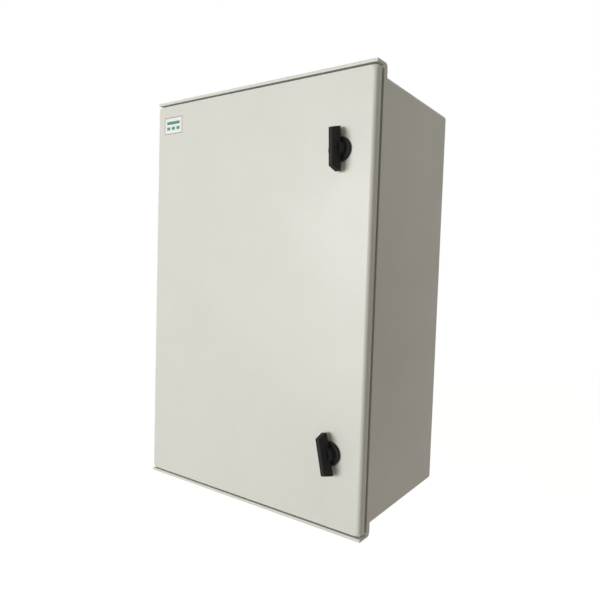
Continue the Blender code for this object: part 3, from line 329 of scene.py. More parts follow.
def cellular(name, pale, deep, roughness, cell, depth):
    """Foamed rubber: open cells, with painted shade in them: the walls pale and the pits darker."""
    look, tree, shader, place = principled(name, {"IOR": 1.45})
    cells = add(tree, "TexVoronoi", {"Vector": place, "Scale": per(cell)}).outputs["Distance"]
    # the darker tone in the middles of the cells is painted shade in the pits
    tone = add(tree, "Mix", {0: cells, 6: linear(deep), 7: linear(pale)}, data_type="RGBA")
    gloss = add(tree, "MapRange", {"Value": cells, "To Min": roughness, "To Max": roughness - 0.15})
    finish_look(tree, shader, tone.outputs[2], gloss.outputs["Result"], cells, depth)
    return look


# Modelling


def alone(piece):
    """Makes a piece the only one that operators act on."""
    bpy.ops.object.select_all(action="DESELECT")
    piece.select_set(True)
    bpy.context.view_layer.objects.active = piece


def apply(piece, kind, **settings):
    """Adds a modifier and applies it."""
    alone(piece)
    step = piece.modifiers.new(kind.lower(), kind)
    for key, value in settings.items():
        setattr(step, key, value)
    bpy.ops.object.modifier_apply(modifier=step.name)


def smooth(piece):
    """Shades a piece smooth, apart from its sharp edges."""
    alone(piece)
    bpy.ops.object.shade_smooth_by_angle(angle=SMOOTH)
    apply(piece, "WEIGHTED_NORMAL", keep_sharp=True)


def soften(piece, width, segments=2):
    """Rounds the sharp edges of a piece by some millimetres, and shades it smooth."""
    apply(piece, "BEVEL", width=width * MM, segments=segments, limit_method="ANGLE",
          angle_limit=SHARP, use_clamp_overlap=True, miter_outer="MITER_ARC")
    bpy.ops.object.mode_set(mode="EDIT")
    bpy.ops.mesh.select_all(action="SELECT")
    bpy.ops.mesh.dissolve_degenerate(threshold=SLIVER * MM)
    bpy.ops.object.mode_set(mode="OBJECT")
    smooth(piece)
    return piece


def whole(piece):
    """Merges a piece's loose triangles and makes its flat faces whole."""
    alone(piece)
    bpy.ops.object.mode_set(mode="EDIT")
    bpy.ops.mesh.select_all(action="SELECT")
    bpy.ops.mesh.remove_doubles(threshold=MERGE * MM)
    bpy.ops.mesh.dissolve_limited(angle_limit=FLAT)
    bpy.ops.mesh.delete_loose()
    bpy.ops.object.mode_set(mode="OBJECT")
    return piece


def cad_copy(node, name):
    """A CAD node's shape as a new piece."""
    piece = bpy.data.objects.new(name, nodes[node].data.copy())
    piece.data.materials.clear()
    bpy.context.collection.objects.link(piece)
    alone(piece)
    bpy.ops.mesh.customdata_custom_splitnormals_clear()
    return whole(piece)


def pick(piece, kind, test):
    """Selects the faces, edges or verts that pass a test, in edit mode."""
    bpy.ops.mesh.select_mode(type={"faces": "FACE", "edges": "EDGE", "verts": "VERT"}[kind])
    bpy.ops.mesh.select_all(action="DESELECT")
    mesh = bmesh.from_edit_mesh(piece.data)
    for item in getattr(mesh, kind):
        item.select_set(bool(test(item)))
    mesh.select_flush_mode()
    bmesh.update_edit_mesh(piece.data)


def started(name):
    """Names the primitive just added and applies its place."""
    piece = bpy.context.object
    piece.name = name
    bpy.ops.object.transform_apply(location=True, rotation=True, scale=True)
    return piece


def block(name, middle, size, rounding=0.0):
    """A block placed by its middle, with its edges rounded. All in millimetres."""
    bpy.ops.object.select_all(action="DESELECT")
    bpy.ops.mesh.primitive_cube_add(size=1, location=mm(*middle), scale=mm(*size))
    piece = started(name)
    if rounding:
        apply(piece, "BEVEL", width=rounding * MM, segments=2, limit_method="NONE")
        smooth(piece)
    return piece


def drawn(name, steps, sides=48, turn=0.0):
    """A disc drawn out along Z and resized through steps of radius and height, in millimetres."""
    radius, height = steps[0]
    bpy.ops.object.select_all(action="DESELECT")
    bpy.ops.mesh.primitive_circle_add(vertices=sides, radius=radius * MM, fill_type="NGON",
                                      location=(0, 0, height * MM), rotation=(0, 0, math.radians(turn)))
    piece = started(name)
    bpy.ops.object.mode_set(mode="EDIT")
    bpy.ops.mesh.select_all(action="SELECT")
    for (before, low), (after, high) in zip(steps, steps[1:]):
        bpy.ops.mesh.extrude_region_move(TRANSFORM_OT_translate={"value": (0, 0, (high - low) * MM)})
        bpy.ops.transform.resize(value=(after / before, after / before, 1))
    bpy.ops.mesh.select_all(action="SELECT")
    bpy.ops.mesh.normals_make_consistent(inside=False)
    bpy.ops.object.mode_set(mode="OBJECT")
    return piece


def combined(piece, operation, *tools):
    """Joins tools to a piece (UNION) or cuts them out of it (DIFFERENCE)."""
    for tool in tools:
        apply(piece, "BOOLEAN", operation=operation, object=tool, solver="EXACT")
        bpy.data.objects.remove(tool)
    return piece


def put(piece, across, out, up, lean=0.0):
    """Turns a bench piece to the front, leaning to the left by some degrees, and puts it in its place."""
    alone(piece)
    piece.matrix_world = (Matrix.Translation(mm(across, -out, up)) @ Matrix.Rotation(TO_FRONT, 4, "X")
                          @ Matrix.Rotation(math.radians(lean), 4, "Z"))
    bpy.ops.object.transform_apply(location=True, rotation=True, scale=True)
    return piece


def twin(piece, name, offset):
    """A copy with its own mesh, moved by an offset in millimetres."""
    made = piece.copy()
    made.data = piece.data.copy()
    made.name = name
    made.data.transform(Matrix.Translation(mm(*offset)))
    bpy.context.collection.objects.link(made)
    return made


def joined(name, pieces):
    """Makes several pieces one."""
    bpy.ops.object.select_all(action="DESELECT")
    for piece in pieces:
        piece.select_set(True)
    bpy.context.view_layer.objects.active = pieces[0]
    bpy.ops.object.join()
    pieces[0].name = name
    return pieces[0]


def repeated(name, piece, offsets):
    """One piece made of copies of another at each offset, in millimetres; the pattern itself is removed."""
    made = joined(name, [twin(piece, name, offset) for offset in offsets])
    bpy.data.objects.remove(piece)
    return made


def dress(piece, look, body, slot, *stands_for):
    """Gives a piece its material and body, and hides the CAD nodes that it stands for. The slot is not used.
    """
    if look:
        piece.data.materials.append(look)
    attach(piece, body)
    if stands_for:
        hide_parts(*stands_for)


def reskin(node, name, look, body, slot, width):
    """A CAD node's shape with its edges rounded, standing for the node."""
    dress(soften(cad_copy(node, name), width), look, body, slot, node)


# Materials

polyester = pressed_polyester()
# Moulded ones: pale and deep tone, roughness, then grain, depth of grain and clouds in millimetres
# Glass-filled polyamide: near black, dull where the tool was spark eroded, with a fine even grain
black_polyamide = moulded("black_polyamide", "282829", "202021", 0.62, 0.7, 0.02, 30, specular=0.15)
# Polyamide of the glands: cool light grey and smooth, a little waxy
grey_polyamide = moulded("grey_polyamide", "BABCB8", "AEB0AD", 0.42, 1.2, 0.01, 25)
# Polycarbonate of the devices: pale grey, with a spark-eroded matt skin
device_plastic = moulded("device_thermoplastic", "DEDFDC", "D5D6D3", 0.5, 0.8, 0.02, 40)
# The same in a darker grey for what is gripped, in orange for the cartridges, and in black for the toggle
carrier_plastic = moulded("carrier_thermoplastic", "C6C8C6", "BBBDBC", 0.48, 0.8, 0.02, 25)
cartridge_plastic = moulded("cartridge_thermoplastic", "C75F33", "B75128", 0.45, 0.8, 0.02, 30)
toggle_plastic = moulded("toggle_thermoplastic", "303236", "25272A", 0.4, 0.6, 0.015, 20)
# Bulk-moulded polyester of the bar's support: brick red, hard and slightly glossy
support_resin = moulded("support_resin", "B8402F", "A63628", 0.38, 1.5, 0.012, 30)
# Steatite tube of a fuse link: ivory, glazed, with a slight flow in the glaze
ceramic = moulded("fuse_ceramic", "F0EEE6", "E6E2D6", 0.22, 4.0, 0.02, 12)
# Chloroprene of the gland seals: black and dull
seal_rubber = moulded("seal_rubber", "2C2C2B", "232323", 0.75, 0.5, 0.03, 12)
# Printed polyester film: white with a soft sheen; the inks lie flat on it
label_film = moulded("label_film", "EDF3EF", "E6EEE9", 0.3, 3.0, 0.004, 20)
mauve_ink = moulded("mauve_ink", "8E7882", "826C77", 0.4, 0.6, 0.004, 8)
teal_ink = moulded("teal_ink", "4A8B81", "3D7D73", 0.4, 0.6, 0.004, 8)
black_ink = moulded("black_ink", "33363A", "2B2D31", 0.5, 0.6, 0.004, 8)
# Acrylic lens of an indicator: clear green gloss
green_lens = moulded("green_lens", "3E9E55", "2F8A47", 0.12, 2.0, 0.006, 3)

zinc = galvanised()
# Metals: pale and deep tone, roughness, then patches, lines and depth of lines in millimetres
# Bright zinc on cold-rolled rails and tongues: cleaner than the plate, with lines along the rolling
rail_zinc = metal("bright_zinc", "CBCDCA", "B6B9B7", 0.32, 40, 0.9, 0.01)
# Bright zinc on small screws and nuts, with a faint yellow passivation
screw_zinc = metal("screw_zinc", "CFCDC2", "B9B6A9", 0.3, 6, 0.5, 0.01)
# Drawn stainless rod of the hinge pins: clean and bright, hardly marked
stainless = metal("stainless_steel", "C9CAC9", "B4B6B6", 0.26, 18, 0.5, 0.008)
# Bare copper bar: salmon, darker where it has been handled
copper = metal("copper", "CB8B66", "A96C4C", 0.34, 14, 0.8, 0.01)
# Extruded brass of the terminal bars: yellow, browner in patches
brass = metal("brass", "CDB065", "B3934C", 0.32, 16, 0.8, 0.01)
# Nickel on contact caps and clamps: warm white and bright
nickel = metal("nickel_plate", "D6D1C6", "C2BCB0", 0.2, 10, 0.5, 0.006)
# Foamed rubber of the door's seal: dark grey, dead matt, with open cells whose pits hold painted shade
foam = cellular("seal_foam", "5C5C59", "3A3A38", 0.9, 1.1, 0.25)


# Case, door and locks


def make_case():
    """The case: its side walls are run on into the ends of the lips, and its front edges are rounded."""
    case = cad_copy("enclosure_body", "case_moulding")
    for side in (1, -1):
        for up in (1, -1):
            for (across, out, height), size in STEP_FILLS:
                combined(case, "UNION", block("fill", (side * across, -out, up * height), size))
    whole(case)

    def is_leftover(corner, side):
        place = corner.co / MM
        return abs(place.x * side - LIP_END) < NEAR and abs(place.z) > LIP_LEVEL

    def is_rounded(edge):
        ends = [end.co / MM for end in edge.verts]
        on_lip = all(abs(end.y + LIP_FRONT) < NEAR for end in ends)
        on_side = all(abs(abs(end.x) - SIDE_OUTER) < NEAR for end in ends)
        on_front = all(abs(end.y + SIDE_FRONT) < NEAR for end in ends)
        beside_lip = all(abs(end.z) > LIP_LEVEL for end in ends)
        wanted = on_lip or on_side and (on_front or beside_lip)
        return wanted and edge.is_manifold and edge.calc_face_angle() > SMOOTH
    bpy.ops.object.mode_set(mode="EDIT")
    for side in (1, -1):
        # corners left where the solid's lip ended are slid along its straight edge, clear of the rounding
        pick(case, "verts", lambda corner: is_leftover(corner, side))
        bpy.ops.transform.translate(value=(-side * EDGE_ROUNDING * MM, 0, 0))
    pick(case, "edges", is_rounded)
    bpy.ops.mesh.bevel(offset=EDGE_ROUNDING * MM, segments=3, affect="EDGES")
    bpy.ops.object.mode_set(mode="OBJECT")
    smooth(case)
    dress(case, polyester, "case", "grey_polyester", "enclosure_body")


def tighten(door, back, out, across, up, keep):
    """Shrinks a rounded corner of the door's edge, between two distances out, to where its sides meet."""
    ring = [corner.co for corner in bmesh.from_edit_mesh(door.data).verts
            if abs(corner.co.y + out * MM) < NEAR * MM and corner.co.x * across > 0 and corner.co.z * up > 0]
    widest = max(abs(place.x) for place in ring)
    highest = max(abs(place.z) for place in ring)
    meet = Vector((across * widest, 0, up * highest))
    reach = DOOR_CORNER * MM

    def is_outer(corner):
        off = corner.co - meet
        between = back - NEAR < -corner.co.y / MM < out + NEAR
        near = max(abs(off.x), abs(off.z)) < reach
        radius = math.hypot(reach - abs(off.x), reach - abs(off.z))
        return between and near and radius > OUTER_PART * reach
    pick(door, "verts", is_outer)
    bpy.ops.transform.resize(value=(keep, 1, keep), center_override=(meet.x, -out * MM, meet.z))


def make_door():
    """The door, with its skirt trimmed beside the locks and its skirt's corners drawn tighter."""
    door = cad_copy("door_panel", "door_moulding")
    bpy.ops.object.mode_set(mode="EDIT")
    for back, out, keep in SKIRT_CORNERS:
        for across, up in ((1, 1), (1, -1), (-1, 1), (-1, -1)):
            tighten(door, back, out, across, up, keep)
    pick(door, "verts", lambda corner: corner.co.x > 0 and abs(corner.co.y + SKIRT_BACK * MM) < NEAR * MM)
    bpy.ops.transform.translate(value=(0, -SKIRT_TRIM * MM, 0))
    bpy.ops.object.mode_set(mode="OBJECT")
    smooth(door)
    dress(door, polyester, "door", "grey_polyester", "door_panel")


def make_sticker():
    """White film with a thin printed border and the sign for direct current, no words."""
    wide, high = STICKER_SIZE
    bpy.ops.object.select_all(action="DESELECT")
    bpy.ops.mesh.primitive_plane_add(size=1)
    bpy.context.object.scale = mm(wide, high, 1 / MM)
    film = started("sticker_film")
    bpy.ops.object.mode_set(mode="EDIT")
    bpy.ops.mesh.select_all(action="SELECT")
    bpy.ops.mesh.bevel(offset=STICKER_CORNER * MM, segments=6, affect="VERTICES")
    bpy.ops.mesh.select_all(action="SELECT")
    bpy.ops.mesh.extrude_region_move(TRANSFORM_OT_translate={"value": (0, 0, STICKER_THICKNESS * MM)})
    bpy.ops.mesh.inset(thickness=STICKER_MARGIN * MM)
    bpy.ops.mesh.inset(thickness=STICKER_BORDER * MM)
    bpy.ops.mesh.select_all(action="SELECT")
    bpy.ops.mesh.normals_make_consistent(inside=False)

    def on_border(face):
        middle = face.calc_center_median() / MM
        reach = max(abs(middle.x) - wide / 2, abs(middle.y) - high / 2) + STICKER_MARGIN
        return face.normal.z > FACING and -STICKER_BORDER < reach < 0 and len(face.verts) == 4
    film.data.materials.append(label_film)
    film.data.materials.append(mauve_ink)
    pick(film, "faces", on_border)
    film.active_material_index = 1
    bpy.ops.object.material_slot_assign()
    bpy.ops.object.mode_set(mode="OBJECT")
    across, up = STICKER_MIDDLE
    put(film, across, DOOR_FACE, up)
    dress(film, None, "door", "grey_polyester")
    bars = [block("bar", (0, SIGN_ROW, SIGN_LIFT), SIGN_BAR, INK_ROUNDING)]
    bars += [block("dash", (x, -SIGN_ROW, SIGN_LIFT), SIGN_DASH, INK_ROUNDING) for x in SIGN_DASHES]
    sign = put(joined("sticker_sign", bars), across, DOOR_FACE, up)
    dress(sign, teal_ink, "door", "grey_polyester")


def make_lock(side):
    """Bezel with its barrel, the wing knob on its spindle, and the tongue and nut behind the door."""
    place = (KNOB_ACROSS, DOOR_FACE, KNOB_UP[side])
    bezel = drawn(f"bezel_{side}", BEZEL_STEPS, 96)
    soften(combined(bezel, "DIFFERENCE", drawn("bore", BEZEL_BORE, 64)), 0.35)
    dress(put(bezel, *place), black_polyamide, "door", "black_polyamide", f"lock_bezel_{side}")
    knob = soften(drawn(f"wing_knob_{side}", KNOB_STEPS, 64), 0.5)
    wing = block("wing", WING_MIDDLE, WING_SIZE)
    bpy.ops.object.mode_set(mode="EDIT")
    pick(wing, "faces", lambda face: face.normal.z > FACING)
    bpy.ops.transform.resize(value=(WING_TOP[0] / WING_SIZE[0], WING_TOP[1] / WING_SIZE[1], 1))
    pick(wing, "edges", lambda edge: max(end.co.z for end in edge.verts) > WING_FOOT * MM)
    bpy.ops.mesh.bevel(offset=WING_ROUNDING * MM, segments=3, affect="EDGES")
    bpy.ops.object.mode_set(mode="OBJECT")
    combined(knob, "UNION", wing, block("square", SQUARE_MIDDLE, SQUARE_SIZE, 0.3))
    smooth(knob)
    dress(put(knob, *place, KNOB_LEAN[side]), black_polyamide, f"{side}_lock", "black_polyamide",
          f"lock_knob_{side}")
    reskin(f"lock_tongue_{side}", f"tongue_{side}", rail_zinc, f"{side}_lock", "zinc_plated_steel", 0.4)
    reskin(f"lock_nut_{side}", f"barrel_nut_{side}", screw_zinc, "door", "zinc_plated_steel", 0.5)


# Screws


def cross_head(name, radius, height, washer=0.0):
    """A pan-headed screw on the bench, with a cross recess and, where asked, a washer."""
    low = 1.0 if washer else 0.0
    foot = [(washer, 0), (washer, low), (radius, low)] if washer else [(radius, 0)]
    screw = drawn(name, foot + [(radius, low + 0.55 * height), (0.85 * radius, low + 0.85 * height),
                                (0.4 * radius, low + height)], 32)
    top = low + height
    for size in ((1.3 * radius, 0.3 * radius, height), (0.3 * radius, 1.3 * radius, height)):
        combined(screw, "DIFFERENCE", block("recess", (0, 0, top), size))
    return soften(screw, 0.12, 1)


def slotted(name, radius, height):
    """A slotted cheese-headed screw on the bench."""
    screw = drawn(name, [(radius, 0), (radius, 0.75 * height), (0.86 * radius, height)], 32)
    combined(screw, "DIFFERENCE", block("slot", (0, 0, height), (3 * radius, 0.36 * radius, 1.1 * height)))
    return soften(screw, 0.1, 1)


def make_screws():
    """Screws of the plate, the rails, the end stops and the terminals."""
    plate_screw = put(cross_head("screw", radius=5, height=3.2, washer=7), 0, PLATE_FRONT, 0)
    fixings = repeated("plate_screws", plate_screw, [(x, 0, z) for x, z in PLATE_SCREWS])
    dress(fixings, screw_zinc, "case", "zinc_plated_steel")
    rail_screw = put(cross_head("screw", radius=4.2, height=2.6, washer=5.5), 0, RAIL_FLOOR, 0)
    rails = [(x, 0, z) for x in (-RAIL_SCREW_ACROSS, RAIL_SCREW_ACROSS) for z in (UPPER_RAIL, LOWER_RAIL)]
    dress(repeated("rail_screws", rail_screw, rails), screw_zinc, "case", "zinc_plated_steel")
    stop_screw = put(slotted("screw", radius=2.8, height=1.8), 0, STOP_FRONT, 0)
    clamps = repeated("stop_screws", stop_screw, [(x, 0, z) for x, z in STOP_SCREWS])
    dress(clamps, screw_zinc, "case", "zinc_plated_steel")
    heads = []
    for poles, rail, out, off in TERMINALS:
        heads += [(x, -out, rail + z) for x in poles for z in (-off, off)]
    head = put(cross_head("screw", radius=2.55, height=1.8), 0, 0, 0)
    dress(repeated("terminal_screws", head, heads), screw_zinc, "case", "zinc_plated_steel")


def make_clamps():
    """Ribbed clamp jaws that close the terminal openings."""
    jaw = block("jaw", (0, 0, 0), JAW_SIZE, 0.15)
    ribs = [block("rib", (x, 0, JAW_SIZE[2] / 2), JAW_RIB, 0.15) for x in JAW_RIBS]
    combined(jaw, "UNION", *ribs)
    smooth(jaw)
    down = [(x, -JAW_OUT, UPPER_RAIL - FUSE_JAW) for x in FUSES]
    down += [(x, -JAW_OUT, UPPER_RAIL - ARRESTER_JAW) for x in ARRESTER_POLES]
    down += [(x, -JAW_OUT, LOWER_RAIL - BREAKER_JAW) for x in BREAKER_POLES]
    upward = [(x, -JAW_OUT, UPPER_RAIL + ARRESTER_JAW) for x in ARRESTER_POLES]
    upward += [(x, -JAW_OUT, LOWER_RAIL + BREAKER_JAW) for x in BREAKER_POLES]
    flipped = twin(jaw, "jaw", (0, 0, 0))
    flipped.data.transform(Matrix.Rotation(math.pi, 4, "X"))
    top = repeated("clamp_jaws_top", jaw, upward)
    bottom = repeated("clamp_jaws_bottom", flipped, down)
    for piece in (top, bottom):
        dress(piece, nickel, "case", "zinc_plated_steel")


# Devices on the rails


def ink_number(digit, across, out, up, height):
    """A digit printed on a face, as a thin mesh."""
    bpy.ops.object.select_all(action="DESELECT")
    bpy.ops.object.text_add()
    text = bpy.context.object
    text.data.body = digit
    text.data.size = height * MM
    text.data.align_x = "CENTER"
    text.data.align_y = "CENTER"
    text.data.extrude = INK_THICKNESS * MM
    bpy.ops.object.convert(target="MESH")
    return put(whole(bpy.context.object), across, out, up)


def fuse_front(across):
    """Grip ribs, printed fuse sign and indicator lens on the front of a carrier."""
    ribs = [block("rib", (0, y, 0.25), GRIP_RIB, 0.25) for y in (-GRIP_PITCH, 0, GRIP_PITCH)]
    grip = put(joined("grip", ribs), across, CARRIER_FRONT, GRIP_UP)
    wide, high = FUSE_SIGN
    strokes = [(x, 0, "upright") for x in (-wide / 2, wide / 2)]
    strokes += [(0, y, "level") for y in (-high / 2, high / 2)]
    strokes.append((0, 0, "wire"))
    lines = [block(kind, (x, y, INK_ROUNDING), FUSE_STROKES[kind], INK_ROUNDING) for x, y, kind in strokes]
    sign = put(joined("sign", lines), across, CARRIER_FRONT, FUSE_SIGN_UP)
    lens = drawn("lens", LENS_STEPS, 24)
    smooth(lens)
    return grip, sign, put(lens, across + LENS_ACROSS, CARRIER_FRONT, FUSE_MARK_UP)


def fuse_link():
    """Glazed tube and its two caps, standing in the first carrier."""
    low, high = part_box("fuse_link_1")
    middle = (low + high) / 2
    tube = drawn("tube", TUBE_STEPS, 48)
    smooth(tube)
    caps = []
    for side in (1, -1):
        steps = [(radius, side * height) for radius, height in CAP_STEPS]
        caps.append(soften(drawn("cap", steps, 48), 0.2))
    ends = joined("ends", caps)
    for piece in (tube, ends):
        piece.data.transform(Matrix.Translation(middle))
    return tube, ends


def make_carrier():
    """The first carrier's shape, with its edges rounded."""
    drawer = cad_copy("fuse_carrier_1", "drawer")

    def on_line(edge):
        return all(abs(end.co.y + POCKET_LINE * MM) < NEAR * MM for end in edge.verts)
    bpy.ops.object.mode_set(mode="EDIT")
    pick(drawer, "edges", on_line)
    bpy.ops.mesh.dissolve_edges(use_verts=False)
    bpy.ops.object.mode_set(mode="OBJECT")
    return soften(drawer, 0.3)


def make_fuses():
    """Base, carrier and link of the first string, and their copies for the others."""
    base = soften(cad_copy("fuse_base_1", "base"), 0.4)
    drawer = make_carrier()
    grip, sign, lens = fuse_front(FUSES[0])
    tube, ends = fuse_link()
    plastic = "carrier_thermoplastic"
    for number, across in enumerate(FUSES, 1):
        offset = (across - FUSES[0], 0, 0)
        lever = f"fuse_lever_{number}"
        body = twin(base, f"fuse_body_{number}", offset)
        dress(body, device_plastic, "case", "device_thermoplastic", f"fuse_base_{number}")
        carrier = twin(drawer, f"fuse_drawer_{number}", offset)
        dress(carrier, carrier_plastic, lever, plastic, f"fuse_carrier_{number}")
        dress(twin(grip, f"grip_ribs_{number}", offset), carrier_plastic, lever, plastic)
        digit = ink_number(str(number), across + NUMBER_ACROSS, CARRIER_FRONT, FUSE_MARK_UP, NUMBER_HEIGHT)
        printed = joined(f"fuse_print_{number}", [twin(sign, "sign", offset), digit])
        dress(printed, black_ink, lever, plastic)
        dress(twin(lens, f"fuse_lens_{number}", offset), green_lens, lever, plastic)
        link = twin(tube, f"fuse_tube_{number}", offset)
        dress(link, ceramic, lever, "fuse_ceramic", f"fuse_link_{number}")
        dress(twin(ends, f"fuse_caps_{number}", offset), nickel, lever, "fuse_ceramic")
    for pattern in (base, drawer, grip, sign, lens, tube, ends):
        bpy.data.objects.remove(pattern)


def cartridge_front(across):
    """Status window, its frame, and the printed sign of two arrows on the front of a cartridge."""
    window = put(block("window", (0, 0, 0), STATUS_SIZE, 0.3), across, CARTRIDGE_FRONT, STATUS_UP)
    side, end = FRAME_OFF
    bars = [block("bar", (x, 0, FRAME_LIFT), FRAME_UPRIGHT, 0.2) for x in (-side, side)]
    bars += [block("bar", (0, y, FRAME_LIFT), FRAME_LEVEL, 0.2) for y in (-end, end)]
    border = put(joined("border", bars), across, CARTRIDGE_FRONT, STATUS_UP)
    arrows = []
    for up, turn in ((1, 180), (-1, 0)):
        arrow = drawn("arrow", ARROW_STEPS, sides=3, turn=turn)
        arrow.data.transform(Matrix.Translation(mm(0, up * ARROW_OFF, 0)))
        arrows.append(arrow)
    return window, border, put(joined("arrows", arrows), across, CARTRIDGE_FRONT, ARROWS_UP)


def make_arrester():
    """Base with its first plug-in cartridge, and the copies of that for the other poles."""
    reskin("arrester_base", "arrester_body", device_plastic, "case", "device_thermoplastic", 0.4)
    plug = soften(cad_copy("arrester_cartridge_1", "plug"), 0.5)
    window, border, arrows = cartridge_front(ARRESTER_POLES[0])
    plastic = "cartridge_thermoplastic"
    for number, across in enumerate(ARRESTER_POLES, 1):
        offset = (across - ARRESTER_POLES[0], 0, 0)
        body = f"cartridge_{number}"
        cartridge = twin(plug, f"arrester_plug_{number}", offset)
        dress(cartridge, cartridge_plastic, body, plastic, f"arrester_cartridge_{number}")
        dress(twin(window, f"arrester_window_{number}", offset), green_lens, body, plastic)
        dress(twin(border, f"window_frame_{number}", offset), cartridge_plastic, body, plastic)
        dress(twin(arrows, f"arrester_sign_{number}", offset), black_ink, body, plastic)
    for pattern in (plug, window, border, arrows):
        bpy.data.objects.remove(pattern)


def make_breaker():
    """Four poles with one tied toggle, status windows and the marks for on and off."""
    reskin("breaker_body", "breaker_case", device_plastic, "case", "device_thermoplastic", 0.4)
    reskin("breaker_toggle", "breaker_handle", toggle_plastic, "toggle", "toggle_thermoplastic", 0.7)
    marks = []
    outer, inner = OFF_RING
    for across in BREAKER_POLES:
        marks.append(block("one", (across, ON_UP, INK_ROUNDING), ON_STROKE, INK_ROUNDING))
        ring = drawn("zero", [(outer, 0), (outer, 0.06)], 32)
        combined(ring, "DIFFERENCE", drawn("hole", [(inner, -1), (inner, 1)], 32))
        ring.data.transform(Matrix.Translation(mm(across, OFF_UP, 0)))
        marks.append(ring)
    printed = put(joined("breaker_marks", marks), 0, BREAKER_FRONT, 0)
    dress(printed, black_ink, "case", "device_thermoplastic")
    window = put(block("window", (0, 0, 0), FLAG_SIZE, 0.3), 0, BREAKER_FRONT, FLAG_UP)
    windows = repeated("breaker_windows", window, [(x, 0, 0) for x in BREAKER_POLES])
    dress(windows, green_lens, "case", "device_thermoplastic")


def make_bar(node, name, across):
    """A terminal bar with slotted screw heads and wire holes under them."""
    bar = soften(cad_copy(node, name), 0.4)
    for x in BAR_SCREWS:
        hole = drawn("hole", BAR_HOLE, 24)
        hole.data.transform(Matrix.Translation(mm(across + x, -BAR_HOLE_OUT, BAR_UP)))
        slot = block("slot", (across + x, -BAR_SLOT_OUT, BAR_UP), BAR_SLOT)
        combined(bar, "DIFFERENCE", hole, slot)
    smooth(bar)
    bar.data.materials.append(brass)
    bar.data.materials.append(screw_zinc)
    alone(bar)
    bpy.ops.object.mode_set(mode="EDIT")
    pick(bar, "faces", lambda face: face.calc_center_median().y < -BAR_SCREW_FOOT * MM)
    bar.active_material_index = 1
    bpy.ops.object.material_slot_assign()
    bpy.ops.object.mode_set(mode="OBJECT")
    dress(bar, None, "case", "brass", node)


# Glands


def gland_pattern(thread):
    """One gland on the bench, by its thread's radius, and its rubber seal: a hexagon under the wall with a
    ribbed cap, and the thread with its locknut above."""
    flat = thread + 3
    corner = flat / math.cos(math.pi / 6)
    bore = thread - 3.5
    body = soften(drawn("gland", [(corner, -6), (corner, 0)], sides=6, turn=30), 0.7)
    cap = drawn("cap", [(bore + 2, -GLAND_DROP), (bore + 4, -21.6), (flat - 2.4, -19.6), (flat - 1.6, -17.2),
                        (flat - 1.6, RIB_BAND[0]), (flat - 1.6, RIB_BAND[1]), (flat - 2.2, -5.8)], CAP_SIDES)
    alone(cap)
    bpy.ops.object.mode_set(mode="EDIT")

    def is_rib(face):
        middle = face.calc_center_median()
        turn = math.degrees(math.atan2(middle.y, middle.x)) % 360
        number = round(turn / (360 / CAP_SIDES) - 0.5)
        in_band = RIB_BAND[0] * MM < middle.z < RIB_BAND[1] * MM
        return in_band and number % 2 == 0 and abs(face.normal.z) < 0.1
    pick(cap, "faces", is_rib)
    bpy.ops.mesh.inset(thickness=RIB_EDGE * MM, depth=RIB_HEIGHT * MM, use_individual=True)
    bpy.ops.object.mode_set(mode="OBJECT")
    screw = drawn("screw", [(thread - 0.7, -3), (thread, -2), (thread, 11.4), (thread - 0.6, 12.1)], 48)
    nut = soften(drawn("nut", [(corner, 5.1), (corner, 10.1)], sides=6, turn=30), 0.5)
    combined(body, "UNION", cap, screw, nut)
    combined(body, "DIFFERENCE", drawn("bore", [(bore, -30), (bore, 20)], 48))
    smooth(body)
    seal = drawn("seal", [(bore - PLAY, -21), (bore - PLAY, -8)], 48)
    combined(seal, "DIFFERENCE", drawn("hole", [(bore - 1.4, -30), (bore - 1.4, 0)], 48))
    return body, soften(seal, 0.4)


def make_glands(names, thread):
    """Glands of one size in their places."""
    body, seal = gland_pattern(thread)
    for name in names:
        low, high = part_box(name)
        middle = (low + high) / 2 / MM
        place = (middle.x, middle.y, low.z / MM + GLAND_DROP)
        dress(twin(body, f"{name}_nut", place), grey_polyamide, "case", "grey_polyamide", name)
        dress(twin(seal, f"{name}_seal", place), seal_rubber, "case", "grey_polyamide")
    for pattern in (body, seal):
        bpy.data.objects.remove(pattern)


# Stage


def make_camera():
    """The camera, where the photograph was taken from."""
    data = bpy.data.cameras.new("camera")
    data.lens = LENS
    data.sensor_width = SENSOR
    camera = bpy.data.objects.new("camera", data)
    turn = Matrix.Rotation(math.radians(CAMERA_AZIMUTH), 4, "Z")
    tilt = Matrix.Rotation(math.radians(90 - CAMERA_TILT), 4, "X")
    roll = Matrix.Rotation(math.radians(CAMERA_ROLL), 4, "Z")
    camera.matrix_world = Matrix.Translation(CAMERA_PLACE) @ turn @ tilt @ roll
    bpy.context.collection.objects.link(camera)
    bpy.context.scene.camera = camera


def make_key():
    """One large soft light, far to the front left, turned to the box."""
    data = bpy.data.lights.new("key", "AREA")
    data.energy = KEY_POWER
    data.size = KEY_SIZE
    lamp = bpy.data.objects.new("key", data)
    lamp.location = KEY_PLACE
    lamp.rotation_euler = (-Vector(KEY_PLACE)).to_track_quat("-Z", "Y").to_euler()
    bpy.context.collection.objects.link(lamp)


def seen(tree):
    """1 for rays that show the background: to the camera, in reflections and through glass."""
    ray = add(tree, "LightPath").outputs
    shown = add(tree, "Math", {0: ray["Is Camera Ray"], 1: ray["Is Glossy Ray"]}, operation="MAXIMUM")
    both = add(tree, "Math", {0: shown.outputs[0], 1: ray["Is Transmission Ray"]}, operation="MAXIMUM")
    return both.outputs[0]


